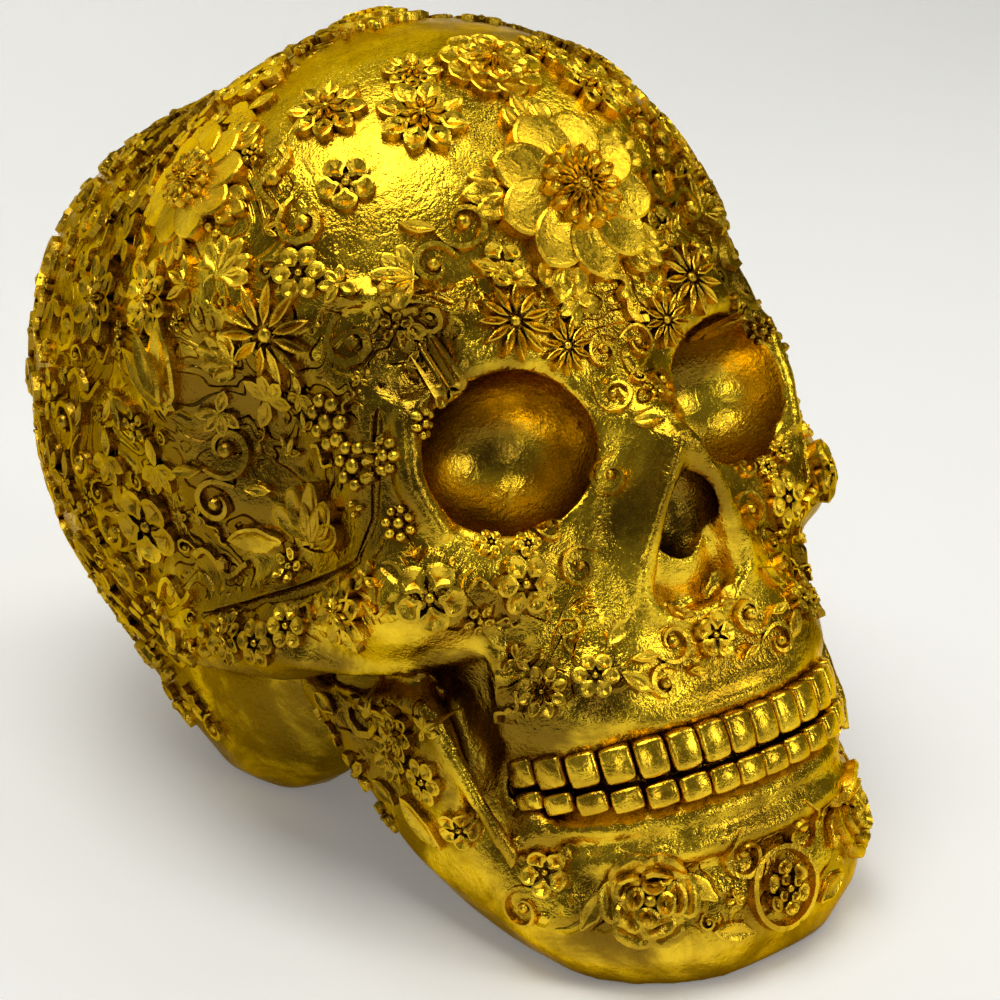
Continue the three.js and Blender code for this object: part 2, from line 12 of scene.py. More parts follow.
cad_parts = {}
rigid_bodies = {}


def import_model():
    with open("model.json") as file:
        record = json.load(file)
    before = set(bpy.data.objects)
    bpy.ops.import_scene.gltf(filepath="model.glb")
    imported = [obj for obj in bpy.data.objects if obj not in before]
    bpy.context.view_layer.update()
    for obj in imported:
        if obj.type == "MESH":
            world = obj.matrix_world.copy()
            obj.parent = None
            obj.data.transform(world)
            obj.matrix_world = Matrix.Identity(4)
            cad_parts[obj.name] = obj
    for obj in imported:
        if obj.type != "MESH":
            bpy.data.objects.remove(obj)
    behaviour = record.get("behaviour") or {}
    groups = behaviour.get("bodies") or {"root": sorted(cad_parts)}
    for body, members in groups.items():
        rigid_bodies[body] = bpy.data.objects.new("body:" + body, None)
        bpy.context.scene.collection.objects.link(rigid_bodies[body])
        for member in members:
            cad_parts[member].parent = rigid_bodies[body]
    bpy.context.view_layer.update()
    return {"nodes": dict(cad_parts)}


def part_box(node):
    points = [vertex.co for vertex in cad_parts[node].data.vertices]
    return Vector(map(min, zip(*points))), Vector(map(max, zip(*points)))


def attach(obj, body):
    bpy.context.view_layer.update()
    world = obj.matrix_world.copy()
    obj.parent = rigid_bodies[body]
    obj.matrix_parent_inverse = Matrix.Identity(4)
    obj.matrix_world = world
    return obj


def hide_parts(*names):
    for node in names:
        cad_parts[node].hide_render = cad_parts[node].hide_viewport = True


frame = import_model()
bpy.ops.object.select_all(action="DESELECT")
scene = bpy.context.scene
print("frame is in:", len(frame["nodes"]), "nodes")

# The head's own measure: shares of its half width, half length and half height from the
# middle of the braincase, before it is tipped back onto its nape
head = {"halfWidth": 0.063, "halfLength": 0.085, "halfHeight": 0.065, "tilt": 26.5, "middle": (0, 0.0169, 0.0755)}
tipped = Matrix.Rotation(-math.radians(head["tilt"]), 3, "X")


# from level metres round the middle of the head to its place in the scene
def tippedBack(level):
    return tipped @ Vector(level) + Vector(head["middle"])


def onHead(x, y, z):
    return tippedBack((x * head["halfWidth"], y * head["halfLength"], z * head["halfHeight"]))


def sharesOf(point):
    level = tipped.transposed() @ (Vector(point) - Vector(head["middle"]))
    return level.x / head["halfWidth"], level.y / head["halfLength"], level.z / head["halfHeight"]


def clamped(value):
    return max(0, min(1, value))


def only(piece):
    bpy.ops.object.select_all(action="DESELECT")
    piece.select_set(True)
    bpy.context.view_layer.objects.active = piece
    return piece


def editing(piece):
    only(piece)
    bpy.ops.object.mode_set(mode="EDIT")
    bpy.ops.mesh.select_all(action="SELECT")


def done():
    bpy.ops.object.mode_set(mode="OBJECT")
    return bpy.context.object


def pickPoints(test):
    bpy.ops.mesh.select_mode(type="VERT")
    mesh = bmesh.from_edit_mesh(bpy.context.object.data)
    for point in mesh.verts:
        point.select_set(test(point.co))
    mesh.select_flush_mode()
    bmesh.update_edit_mesh(bpy.context.object.data)


def joined(pieces, name):
    bpy.ops.object.select_all(action="DESELECT")
    for piece in pieces:
        piece.select_set(True)
    bpy.context.view_layer.objects.active = pieces[0]
    bpy.ops.object.join()
    piece = bpy.context.object
    piece.name = name
    piece.data.name = name
    return piece


def applied(piece, kind, **settings):
    only(piece)
    modifier = piece.modifiers.new(kind.lower(), kind)
    for key, value in settings.items():
        setattr(modifier, key, value)
    bpy.ops.object.modifier_apply(modifier=modifier.name)
    return piece


def drop(piece):
    bpy.data.objects.remove(piece, do_unlink=True)


# a round wire through points, each with its x, y, z and radius
def wire(points, name, roundness):
    curve = bpy.data.curves.new(name, "CURVE")
    curve.dimensions = "3D"
    curve.bevel_depth = 1
    curve.bevel_resolution = roundness
    curve.use_fill_caps = True
    line = curve.splines.new("POLY")
    line.points.add(len(points) - 1)
    for spot, (x, y, z, radius) in zip(line.points, points):
        spot.co = (x, y, z, 1)
        spot.radius = radius
    piece = bpy.data.objects.new(name, curve)
    scene.collection.objects.link(piece)
    only(piece)
    bpy.ops.object.convert(target="MESH")
    return bpy.context.object


# camera where the photo was taken, front right and a little above
cameraPlace = {"at": (-0.2363, -0.332, 0.2188), "right": (0.79457, -0.60694, -0.01673),
               "up": (0.23926, 0.28767, 0.92736), "ahead": (0.55804, 0.74086, -0.37379),
               "lens": 83.04, "sensor": 36, "near": 0.01}
cameraData = bpy.data.cameras.new("camera")
cameraData.lens = cameraPlace["lens"]
cameraData.sensor_width = cameraPlace["sensor"]
cameraData.clip_start = cameraPlace["near"]
camera = bpy.data.objects.new("camera", cameraData)
scene.collection.objects.link(camera)
turn = Matrix((cameraPlace["right"], cameraPlace["up"], -Vector(cameraPlace["ahead"]))).transposed()
camera.matrix_world = Matrix.Translation(cameraPlace["at"]) @ turn.to_4x4()
scene.camera = camera

# the skin: the solid cranium and jaw melted into one casting, with folds, rims and lips laid on first
skinShape = {"voxel": 0.00115, "smoothing": 7, "weld": 0.00001}

# raised folds and rims on the right half, as places in head shares and a radius in metres
raisedFolds = {
    "browFold": [(0.74, -0.57, 0.24, 0.0008), (0.66, -0.66, 0.18, 0.0018), (0.55, -0.745, 0.1, 0.0024),
                 (0.46, -0.785, 0.045, 0.0024), (0.37, -0.81, 0, 0.0018), (0.27, -0.83, -0.04, 0.001)],
    "noseRim": [(0.012, -0.968, -0.41, 0.0012), (0.075, -0.952, -0.52, 0.0012), (0.135, -0.917, -0.63, 0.0012),
                (0.185, -0.887, -0.715, 0.0013), (0.19, -0.87, -0.79, 0.0015), (0.1, -0.858, -0.862, 0.0019),
                (0, -0.858, -0.885, 0.0021)],
    "orbitRim": [(0.52, -0.77, -0.06, 0.0022), (0.62, -0.74, -0.2, 0.0029), (0.645, -0.73, -0.34, 0.003),
                 (0.61, -0.745, -0.5, 0.0026)],
    "archEdge": [(0.88, -0.24, -0.66, 0.0016), (0.84, -0.36, -0.685, 0.0022), (0.76, -0.44, -0.735, 0.0024),
                 (0.69, -0.54, -0.765, 0.0026), (0.61, -0.64, -0.775, 0.0026), (0.52, -0.715, -0.775, 0.0022),
                 (0.44, -0.745, -0.83, 0.0016)],
    "ramusEdge": [(0.67, -0.25, -0.79, 0.0012), (0.69, -0.4, -0.85, 0.0018), (0.68, -0.5, -0.863, 0.002),
                  (0.665, -0.575, -0.908, 0.002), (0.65, -0.582, -1, 0.0019), (0.64, -0.603, -1.085, 0.0018),
                  (0.635, -0.618, -1.149, 0.0017), (0.62, -0.64, -1.257, 0.0017), (0.6, -0.645, -1.345, 0.0013)],
    "mouthFold": [(0.56, -0.56, -0.9, 0.0011), (0.555, -0.56, -0.984, 0.0014), (0.55, -0.568, -1.122, 0.0015),
                  (0.55, -0.581, -1.213, 0.0014), (0.54, -0.65, -1.294, 0.001)],
    "gumEnd": [(0.52, -0.66, -1.05, 0.0009), (0.53, -0.625, -1.09, 0.0011), (0.53, -0.607, -1.13, 0.0012),
               (0.53, -0.607, -1.18, 0.0011), (0.525, -0.632, -1.225, 0.0009)],
    "maxillaEdge": [(0.54, -0.73, -0.8, 0.0017), (0.535, -0.705, -0.9, 0.0018), (0.53, -0.672, -1, 0.0016),
                    (0.52, -0.65, -1.08, 0.0014)],
}
# smooth masses melted in: place in head shares, then half sizes in metres
fillingMasses = {
    "noseFloor": (0, -0.768, -0.665, 0.0105, 0.0085, 0.0125),
    "mouthWall": (0.33, -0.42, -0.98, 0.0125, 0.022, 0.019),
    "ramusFront": (0.635, -0.49, -1.02, 0.0032, 0.0095, 0.0145),
    "recessWall": (0.57, -0.43, -0.98, 0.0065, 0.009, 0.018),
    "jawCorner": (0.5, -0.6, -1.28, 0.0045, 0.009, 0.0055),
    "socketFloor": (0.38, -0.62, -0.34, 0.0165, 0.0125, 0.015),
    "archRoot": (0.45, -0.3, -0.72, 0.012, 0.02, 0.006),
}
# ridges along the gums and the beds behind the teeth: height in head shares, radius, and how far inside the arch
gumLines = {"upperGum": (-1.1, 0.0021, 0), "lowerGum": (-1.35, 0.0019, 0), "lipGum": (-1.43, 0.0022, 0),
            "upperBed": (-1.17, 0.0042, 0.0042), "lowerBed": (-1.295, 0.0042, 0.0042),
            "lipBed": (-1.39, 0.0042, 0.0042)}
gumShape = {"rise": 0.075, "thinner": 0.45, "steps": 40}
archShape = {"width": 0.063, "front": -0.876, "depth": 0.032, "turn": 76, "squareness": 2.6, "steps": 60}


# places along the horseshoe of the teeth, as level x and y in metres with the way out of the mouth
def archLine(count, shrink=0.0):
    power = 2 / archShape["squareness"]
    points = []
    for i in range(archShape["steps"] + 1):
        swing = math.radians(archShape["turn"]) * (2 * i / archShape["steps"] - 1)
        side = math.copysign(abs(math.sin(swing)) ** power, swing)
        back = 1 - abs(math.cos(swing)) ** power
        points.append(Vector((archShape["width"] / 2 * side,
                              archShape["front"] * head["halfLength"] + archShape["depth"] * back)))
    lengths = [0]
    for a, b in zip(points, points[1:]):
        lengths.append(lengths[-1] + (b - a).length)
    spots = []
    for k in range(count):
        want = lengths[-1] * (k + 0.5) / count
        i = max(j for j in range(len(points) - 1) if lengths[j] <= want)
        share = (want - lengths[i]) / (lengths[i + 1] - lengths[i])
        at = points[i].lerp(points[i + 1], share)
        along = (points[i + 1] - points[i]).normalized()
        out = Vector((along.y, -along.x))
        spots.append((at - out * shrink, out, (k + 0.5) / count))
    return spots


def gumLine(name, height, radius, inset):
    points = []
    for at, out, share in archLine(gumShape["steps"], inset):
        back = (2 * share - 1) ** 2
        z = (height + gumShape["rise"] * back) * head["halfHeight"]
        points.append((*tippedBack((at.x, at.y, z)), radius * (1 - gumShape["thinner"] * back)))
    return wire(points, name, 2)


def castSkin():
    cad = []
    for node in ("cranium", "jaw"):
        piece = bpy.data.objects.new(node + "_clay", frame["nodes"][node].data.copy())
        scene.collection.objects.link(piece)
        cad.append(piece)
    skin = joined(cad, "skull_skin")
    editing(skin)
    bpy.ops.mesh.remove_doubles(threshold=skinShape["weld"])
    done()
    extras = []
    for name, points in raisedFolds.items():
        for side in (-1, 1):
            line = [(*onHead(side * x, y, z), radius) for x, y, z, radius in points]
            extras.append(wire(line, name, 2))
    for name, (x, y, z, *half) in fillingMasses.items():
        for side in (-1, 1) if x else (1,):
            extras.append(ball(ballPlace((side * x, y, z), half), 32, 20))
    extras += [gumLine(name, *line) for name, line in gumLines.items()]
    skin = joined([skin] + extras, "skull_skin")
    applied(skin, "REMESH", mode="VOXEL", voxel_size=skinShape["voxel"], use_smooth_shade=True)
    applied(skin, "SMOOTH", factor=0.5, iterations=skinShape["smoothing"])
    return skin


# cuts on the right half: the crack above the cheek arch, the one in front of the temple, the hollow under the
# brow fold, the eye socket and the small dent inside the nose opening
sunkCracks = {
    "archCrack": [(0.9, -0.1, -0.515, 0.0006), (0.86, -0.22, -0.52, 0.0011), (0.82, -0.34, -0.52, 0.0014),
                  (0.775, -0.42, -0.52, 0.0016), (0.765, -0.54, -0.505, 0.0013), (0.755, -0.61, -0.49, 0.0006)],
    "templeCrack": [(0.765, -0.59, -0.49, 0.0006), (0.735, -0.655, -0.4, 0.0009), (0.71, -0.69, -0.28, 0.001),
                    (0.67, -0.71, -0.17, 0.0009), (0.63, -0.725, -0.08, 0.0005)],
}
crackSink = 0.3
templeHollow = {"at": (0.625, -0.797, -0.02), "half": (0.0115, 0.0078, 0.009), "softReach": 0.14, "softRounds": 14}
socketShape = {"at": (0.38, -0.79, -0.34), "width": 0.0311, "depth": 0.031, "height": 0.0268, "yaw": 8, "pitch": 2,
               "around": 72, "rings": 40, "softReach": 0.0013, "softRounds": 3, "justOutside": 0.999}
noseDent = {"at": (0, -0.885, -0.605), "half": (0.0066, 0.0062, 0.0082)}


def ballPlace(at, half, yaw=0.0, pitch=0.0):
    turned = Matrix.Rotation(math.radians(yaw), 4, "Z") @ Matrix.Rotation(math.radians(pitch), 4, "X")
    return Matrix.Translation(onHead(*at)) @ tipped.to_4x4() @ turned @ Matrix.Diagonal((*half, 1))


def ball(place, around=48, rings=32):
    bpy.ops.mesh.primitive_uv_sphere_add(segments=around, ring_count=rings, radius=1)
    piece = bpy.context.object
    piece.data.transform(place)
    return piece


def cutAway(skin, tools):
    tool = joined(tools, "cutter")
    applied(skin, "BOOLEAN", operation="DIFFERENCE", solver="EXACT", object=tool)
    drop(tool)


# a cut's rim is softened by smoothing the points that lie near the ball that cut it
def soften(skin, places, near, far, repeat):
    inverses = [place.inverted() for place in places]
    editing(skin)
    pickPoints(lambda p: any(near < (inverse @ p).length < far for inverse in inverses))
    bpy.ops.mesh.vertices_smooth(factor=0.5, repeat=repeat)
    done()


def cutSockets(skin):
    x, y, z = socketShape["at"]
    half = [socketShape[size] / 2 for size in ("width", "depth", "height")]
    places = [ballPlace((side * x, y, z), half, side * socketShape["yaw"], socketShape["pitch"])
              for side in (-1, 1)]
    bowls = [ball(place, socketShape["around"], socketShape["rings"]) for place in places]
    cutAway(skin, bowls + [ball(ballPlace(noseDent["at"], noseDent["half"]))])
    soften(skin, places, socketShape["justOutside"], 1 + socketShape["softReach"] / half[2],
           socketShape["softRounds"])


# a crack runs just under the surface all along
def crackLine(tree, points, side):
    line = []
    for x, y, z, radius in points:
        near, normal, _, _ = tree.find_nearest(onHead(side * x, y, z))
        line.append((*(near - normal * crackSink * radius), radius))
    return line


def cutHollows(skin):
    x, y, z = templeHollow["at"]
    places = [ballPlace((side * x, y, z), templeHollow["half"]) for side in (-1, 1)]
    cutAway(skin, [ball(place) for place in places])
    reach = templeHollow["softReach"]
    soften(skin, places, 1 - reach, 1 + reach, templeHollow["softRounds"])
    tree = BVHTree.FromObject(skin, bpy.context.evaluated_depsgraph_get())
    crackLines = []
    for name, points in sunkCracks.items():
        pair = [crackLine(tree, points, side) for side in (-1, 1)]
        cutAway(skin, [wire(line, name, 2) for line in pair])
        crackLines += pair
    return crackLines


skin = castSkin()
print("skin cast:", len(skin.data.polygons), "faces")
cutSockets(skin)
crackLines = cutHollows(skin)
print("sockets cut:", len(skin.data.polygons), "faces")
only(skin)
bpy.ops.object.shade_smooth()
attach(skin, "root")
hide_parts("cranium", "jaw")

# teeth, each a pillowed block set along the horseshoe
toothShape = {"count": 16, "depth": 0.0068, "upperHeight": 0.0068, "lowerHeight": 0.0045, "gap": 0.0008,
              "fill": 1.05, "bite": -1.237, "biteRise": 0.08, "backShare": 0.68, "pillow": 0.4, "cuts": 5,
              "ballSize": 0.6, "taller": 1.04}


def oneTooth():
    bpy.ops.mesh.primitive_cube_add(size=1)
    tooth = bpy.context.object
    editing(tooth)
    bpy.ops.mesh.subdivide(number_cuts=toothShape["cuts"])
    done()
    applied(tooth, "CAST", factor=toothShape["pillow"], cast_type="SPHERE", radius=0, size=toothShape["ballSize"],
            use_radius_as_size=False)
    applied(tooth, "SUBSURF", levels=1, render_levels=1)
    tooth.name = "tooth_blank"
    return tooth


def toothRow(blank, top):
    side = 1 if top else -1
    height = toothShape["upperHeight"] if top else toothShape["lowerHeight"]
    line = archLine(toothShape["count"])
    length = sum((b[0] - a[0]).length for a, b in zip(line, line[1:])) / (toothShape["count"] - 1)
    teeth = []
    for at, out, share in line:
        back = (2 * share - 1) ** 2
        rise = height * (1 - (1 - toothShape["backShare"]) * back)
        bite = (toothShape["bite"] + toothShape["biteRise"] * back) * head["halfHeight"]
        near = bite + side * toothShape["gap"] / 2
        tooth = bpy.data.objects.new("tooth", blank.data.copy())
        scene.collection.objects.link(tooth)
        along = Vector((-out.y, out.x, 0))
        axes = Matrix((along, Vector((out.x, out.y, 0)), Vector((0, 0, 1)))).transposed().to_4x4()
        size = Matrix.Diagonal((length * toothShape["fill"], toothShape["depth"], rise * toothShape["taller"], 1))
        level = Matrix.Translation((at.x, at.y, near + side * rise / 2)) @ axes @ size
        tooth.data.transform(Matrix.Translation(head["middle"]) @ tipped.to_4x4() @ level)
        tooth.data.flip_normals()  # its axes are left-handed
        teeth.append(tooth)
    return joined(teeth, "upper_teeth_cast" if top else "lower_teeth_cast")


blank = oneTooth()
for top, node in ((True, "upper_teeth"), (False, "lower_teeth")):
    row = toothRow(blank, top)
    only(row)
    bpy.ops.object.shade_smooth()
    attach(row, "root")
    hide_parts(node)
drop(blank)
print("teeth set")

# ornament blanks lie flat, one unit in radius and one unit high, and are pressed onto the skin later

# lines across a plate as shares of its length or width, and how its rim and crease are made
plateShape = {"footLine": -0.3, "tipLine": 0.49, "leanLine": 0.1, "sideLine": 0.18, "topLine": 0.5,
              "rimInset": 0.5, "rimLift": 0.12, "creaseInset": 0.6, "creaseSteps": 2}


# one petal or leaf plate: a disc stretched, narrowed at its foot, raised, rimmed and creased
def plate(length, width, reach, high, foot, tip, crease, rim, points, lean=0.0, shingle=0.0, turn=0.0):
    bpy.ops.mesh.primitive_circle_add(vertices=points, radius=1, fill_type="NGON", location=(0, 0, 0))
    piece = bpy.context.object
    editing(piece)
    bpy.ops.transform.resize(value=(width / 2, length / 2, 1), center_override=(0, 0, 0))
    pickPoints(lambda p: p.y < plateShape["footLine"] * length)
    bpy.ops.transform.resize(value=(foot, 1, 1), center_override=(0, 0, 0))
    if tip != 1:
        pickPoints(lambda p: p.y > plateShape["tipLine"] * length)
        bpy.ops.transform.translate(value=(0, (tip - 1) * length, 0))
    bpy.ops.mesh.select_all(action="SELECT")
    bpy.ops.mesh.extrude_region_move(TRANSFORM_OT_translate={"value": (0, 0, high)})
    small = min(length, width)
    sink = -crease * high / plateShape["creaseSteps"]
    bpy.ops.mesh.inset(thickness=rim * small * plateShape["rimInset"], depth=plateShape["rimLift"] * high)
    bpy.ops.mesh.inset(thickness=rim * small * plateShape["creaseInset"], depth=sink)
    bpy.ops.mesh.poke(offset=sink)
    top = plateShape["topLine"] * high
    if lean:
        pickPoints(lambda p: p.z > top and p.y > plateShape["leanLine"] * length)
        bpy.ops.transform.translate(value=(0, 0, lean))
    for side in (-1, 1) if shingle else ():
        pickPoints(lambda p: p.z > top and side * p.x > plateShape["sideLine"] * width)
        bpy.ops.transform.translate(value=(0, 0, side * shingle))
    bpy.ops.mesh.select_all(action="SELECT")
    bpy.ops.transform.translate(value=(0, reach, 0))
    piece = done()
    piece.data.transform(Matrix.Rotation(turn, 4, "Z"))
    return piece


def ringOf(piece, count, turn=0.0):
    editing(piece)
    bpy.ops.mesh.spin(steps=count - 1, dupli=True, angle=2 * math.pi * (count - 1) / count,
                      center=(0, 0, 0), axis=(0, 0, 1))
    piece = done()
    piece.data.transform(Matrix.Rotation(turn, 4, "Z"))
    return piece


def button(radius, high, base, reach=0.0, segments=8, rings=6, turn=0.0):
    bpy.ops.mesh.primitive_uv_sphere_add(segments=segments, ring_count=rings, radius=1)
    piece = bpy.context.object
    piece.data.transform(Matrix.Rotation(turn, 4, "Z") @ Matrix.Translation((0, reach, base))
                         @ Matrix.Diagonal((radius, radius, high, 1)))
    return piece


def blankOf(name, pieces):
    piece = joined(pieces, "blank_" + name)
    editing(piece)
    bpy.ops.mesh.normals_make_consistent(inside=False)
    piece = done()
    piece.hide_render = True
    return piece


# a wire on the ground drawn up into a rounded ridge
def domed(points, name, tall):
    piece = wire(points, name, 1)
    piece.data.transform(Matrix.Diagonal((1, 1, tall, 1)))
    return piece


scrollShape = {"thin": 0.55, "swell": 0.6, "lead": 0.12, "hookThin": 0.6, "tall": 7.5, "smallTall": 4, "ringTall": 7,
               "beadHigh": 0.8, "beadBase": 0.35, "leafWidth": 0.45}


def spiral(reach, turns, thick, start, steps=20, hook=0.0, close=0.22):
    points = []
    for i in range(steps + 1):
        t = i / steps
        a = start + turns * 2 * math.pi * t
        r = reach * (1 - (1 - close) * t)
        swell = scrollShape["swell"] * math.sin(math.pi * min(1, scrollShape["lead"] + t))
        points.append((r * math.cos(a), r * math.sin(a), 0, thick * (scrollShape["thin"] + swell)))
    x, y, z, radius = points[0]
    away = Vector((-math.sin(start), math.cos(start))) * -hook
    points.insert(0, (x + away.x, y + away.y, z, radius * scrollShape["hookThin"]))
    return points


def scrollBlank(name, lines, beads=(), leaves=()):
    pieces = [domed(line, name, scrollShape["tall"]) for line in lines]
    for x, y, radius in beads:
        bead = button(radius, scrollShape["beadHigh"], scrollShape["beadBase"], rings=5)
        bead.data.transform(Matrix.Translation((x, y, 0)))
        pieces.append(bead)
    for x, y, length, turn in leaves:
        leaf = plate(length, length * scrollShape["leafWidth"], length / 2, 0.8, 0.6, 1.15, 0.4, 0.2, 8)
        leaf.data.transform(Matrix.Translation((x, y, 0)) @ Matrix.Rotation(turn, 4, "Z"))
        pieces.append(leaf)
    return blankOf(name, pieces)


# a wire made smaller, or mirrored through the middle by a share below 0, and moved
def moved(line, share, x, y):
    return [(share * a + x, share * b + y, z, radius) for a, b, z, radius in line]


# rings of petals, each with its count and turn, then a petal's length, width, reach, height, foot, tip, crease,
# rim, corners, lean and shingle
petalRings = {
    "dahlia": [(9, 0, 0.56, 0.62, 0.7, 0.6, 0.6, 1.04, 0.35, 0.12, 18, 0.06, 0.07),
               (9, math.pi / 9, 0.42, 0.42, 0.46, 0.95, 0.6, 1.05, 0.4, 0.22, 12),
               (14, 0, 0.36, 0.13, 0.22, 1.25, 0.5, 1.1, 0.3, 0.25, 8)],
    "leafyDahlia": [(9, 0.2, 0.7, 0.6, 0.58, 0.72, 0.66, 1.03, 0.16, 0.1, 20, 0, 0.05),
                    (14, 0, 0.36, 0.2, 0.26, 1.25, 0.34, 1.03, 0.3, 0.14, 12)],
    "daisy": [(8, 0, 0.7, 0.5, 0.62, 0.75, 0.42, 1.06, 0.6, 0.24, 14, 0.1),
              (8, math.pi / 8, 0.36, 0.15, 0.24, 1, 0.5, 1.1, 0.3, 0.25, 8)],
    "aster": [(11, 0, 0.72, 0.22, 0.58, 0.8, 0.5, 1.12, 0.55, 0.28, 10, 0.1)],
    "blossom": [(5, 0, 0.74, 0.8, 0.58, 0.75, 0.45, 0.98, 0.7, 0.26, 14, 0.08)],
    "six": [(6, 0, 0.7, 0.66, 0.58, 0.75, 0.42, 1, 0.7, 0.28, 12)],
    "rose": [(6, 0, 0.5, 0.8, 0.66, 0.6, 0.75, 1, 0.55, 0.3, 12, 0.22),
             (5, 0.4, 0.42, 0.62, 0.45, 0.9, 0.75, 1, 0.55, 0.3, 12, 0.22),
             (4, 0.8, 0.34, 0.44, 0.27, 1.15, 0.75, 1, 0.55, 0.3, 12, 0.22)],
    "medallion": [(6, 0, 0.34, 0.42, 0.46, 0.8, 0.7, 1, 0.6, 0.3, 10, 0.15),
                  (4, 0.4, 0.24, 0.28, 0.24, 1.05, 0.7, 1, 0.6, 0.3, 8)],
    "starlet": [(5, 0, 0.6, 0.5, 0.56, 0.7, 0.5, 1, 0.6, 0.3, 6)],
}
# what stands in the middle: radius, height and base
flowerEyes = {"dahlia": (0.07, 0.28, 1.1), "leafyDahlia": (0.06, 0.25, 1.2), "daisy": (0.12, 0.42, 0.8),
              "aster": (0.16, 0.5, 0.5), "blossom": (0.15, 0.5, 0.55), "six": (0.15, 0.5, 0.55),
              "rose": (0.13, 0.5, 0.9), "medallion": (0.1, 0.45, 0.8)}
# leaves from one foot: how far the foot is drawn down, then each leaf's turn and its plate as above
leafSprays = {
    "leaf": (0, [(0, 1.7, 0.8, 0, 0.7, 0.6, 1.08, 0.6, 0.22, 14)]),
    "fan": (0.5, [(-0.52 * i, 1.25 - 0.18 * abs(i), 0.5, 0.52, 0.8, 0.55, 0.97, 0.5, 0.2, 14)
                  for i in (-2, -1, 0, 1, 2)]),
    "tulip": (0.55, [(0.5, 1.5, 0.6, 0.5, 0.7, 0.5, 1.12, 0.5, 0.22, 12),
                     (-0.5, 1.5, 0.6, 0.5, 0.7, 0.5, 1.12, 0.5, 0.22, 12),
                     (0, 1.2, 0.5, 0.6, 1, 0.5, 1.1, 0.5, 0.22, 12)]),
    "sprig": (0, [(turn, 0.95, 0.4, 0.48, 0.7, 0.5, 1.1, 0.5, 0.3, 8) for turn in (-0.9, 0, 0.9)]),
    "lobed": (0, [(turn, 0.8, 0.5, 0.4, 0.6, 0.7, 1.1, 0.5, 0.3, 8) for turn in (-1.2, -0.4, 0.4, 1.2, 3.1)]),
}
# five leaves of three lobes stand round the leafy dahlia: each lobe's swing, length and reach
wreathShape = {"leaves": 5, "lobes": ((-0.17, 0.34, 0.96), (0, 0.42, 1.01), (0.17, 0.34, 0.96)),
               "plate": (0.42, 0.8, 1.06, 0.4, 0.2, 12), "width": 0.27, "dome": (0.4, 0.44, 0.78, 0, 20)}
medallionRing = {"reach": 0.92, "thick": 0.12, "steps": 24}


def petals(name):
    return [ringOf(plate(*petal), count, turn) for count, turn, *petal in petalRings[name]]


def flower(name, extras=()):
    return blankOf(name, [*extras, *petals(name), button(*flowerEyes[name])])


def spray(name):
    down, leaves = leafSprays[name]
    pieces = [plate(*leaf, turn=turn) for turn, *leaf in leaves]
    for piece in pieces:
        piece.data.transform(Matrix.Translation((0, -down, 0)))
    return pieces


def wreath():
    pieces = [button(*wreathShape["dome"])]
    for i in range(wreathShape["leaves"]):
        turn = 2 * math.pi * i / wreathShape["leaves"]
        for swing, length, reach in wreathShape["lobes"]:
            pieces.append(plate(length, wreathShape["width"], reach, *wreathShape["plate"], turn=turn + swing))
    return pieces


def ringWire():
    turns = [2 * math.pi * i / medallionRing["steps"] for i in range(medallionRing["steps"] + 1)]
    reach, thick = medallionRing["reach"], medallionRing["thick"]
    return domed([(reach * math.cos(a), reach * math.sin(a), 0, thick) for a in turns], "ring",
                 scrollShape["ringTall"])


def makeBlanks():
    blanks = {name: flower(name) for name in ("dahlia", "daisy", "aster", "blossom", "six", "rose")}
    blanks["leafyDahlia"] = flower("leafyDahlia", wreath())
    blanks["medallion"] = flower("medallion", [ringWire()])
    blanks["berries"] = blankOf("berries", [ringOf(button(0.25, 0.7, 0.4, 0.66), 7), button(0.3, 0.75, 0.5)])
    for name in ("leaf", "fan", "tulip"):
        blanks[name] = blankOf(name, spray(name))
    blanks["scroll"] = scrollBlank("scroll", [spiral(0.82, 1.2, 0.12, 0.6, hook=0.55, close=0.3)],
                                   [(0.1, 0.05, 0.2)])
    upper = moved(spiral(0.85, 0.95, 0.1, 3.4, hook=0.8, close=0.35), 0.6, 0.45, 0.25)
    lower = moved(spiral(0.85, 0.95, 0.1, 3.6, hook=0.6, close=0.35), -0.5, -0.45, -0.2)
    blanks["doubleScroll"] = scrollBlank("doubleScroll", [upper, lower], [(0.45, 0.25, 0.16), (-0.45, -0.2, 0.14)],
                                         [(-0.1, 0.35, 0.6, 0.9), (0.2, -0.45, 0.5, 3.9)])
    return blanks


# small filler: few faces, used hundreds of times
def makeCrumbs():
    def dot(radius, high, base):
        return button(radius, high, base, 0, 6, 4)

    curl = domed(spiral(0.75, 1.1, 0.19, 0.4, 10, hook=0.35), "curl", scrollShape["smallTall"])
    wave = [(-0.95 + 0.19 * i, 0.32 * math.sin(0.75 * i), 0, 0.2 - 0.006 * i) for i in range(11)]
    return [
        blankOf("curl", [curl, dot(0.24, 0.6, 0.3)]),
        blankOf("sprig", [*spray("sprig"), dot(0.2, 0.7, 0.2)]),
        blankOf("beads", [button(0.34, 0.75, 0.25, 0.52, 8, 5, turn) for turn in (0, 2.1, 4.2)]),
        blankOf("starlet", [*petals("starlet"), dot(0.2, 0.7, 0.4)]),
        blankOf("wave", [domed(wave, "wave", scrollShape["smallTall"]), dot(0.26, 0.6, 0.3)]),
        blankOf("lobed", spray("lobed")),
    ]


skinTree = BVHTree.FromObject(skin, bpy.context.evaluated_depsgraph_get())
# how far above the skin a press starts, how far it may fall, and how deep a blank's underside sinks; feel and
# room are shares of a piece's radius
pressing = {"reach": 0.02, "fall": 2.2, "sink": 0.0009, "ground": 0.02, "lean": 1.5, "feel": 0.6, "largeRoom": 1.05,
            "smallRoom": 0.9, "foldAngle": 38}


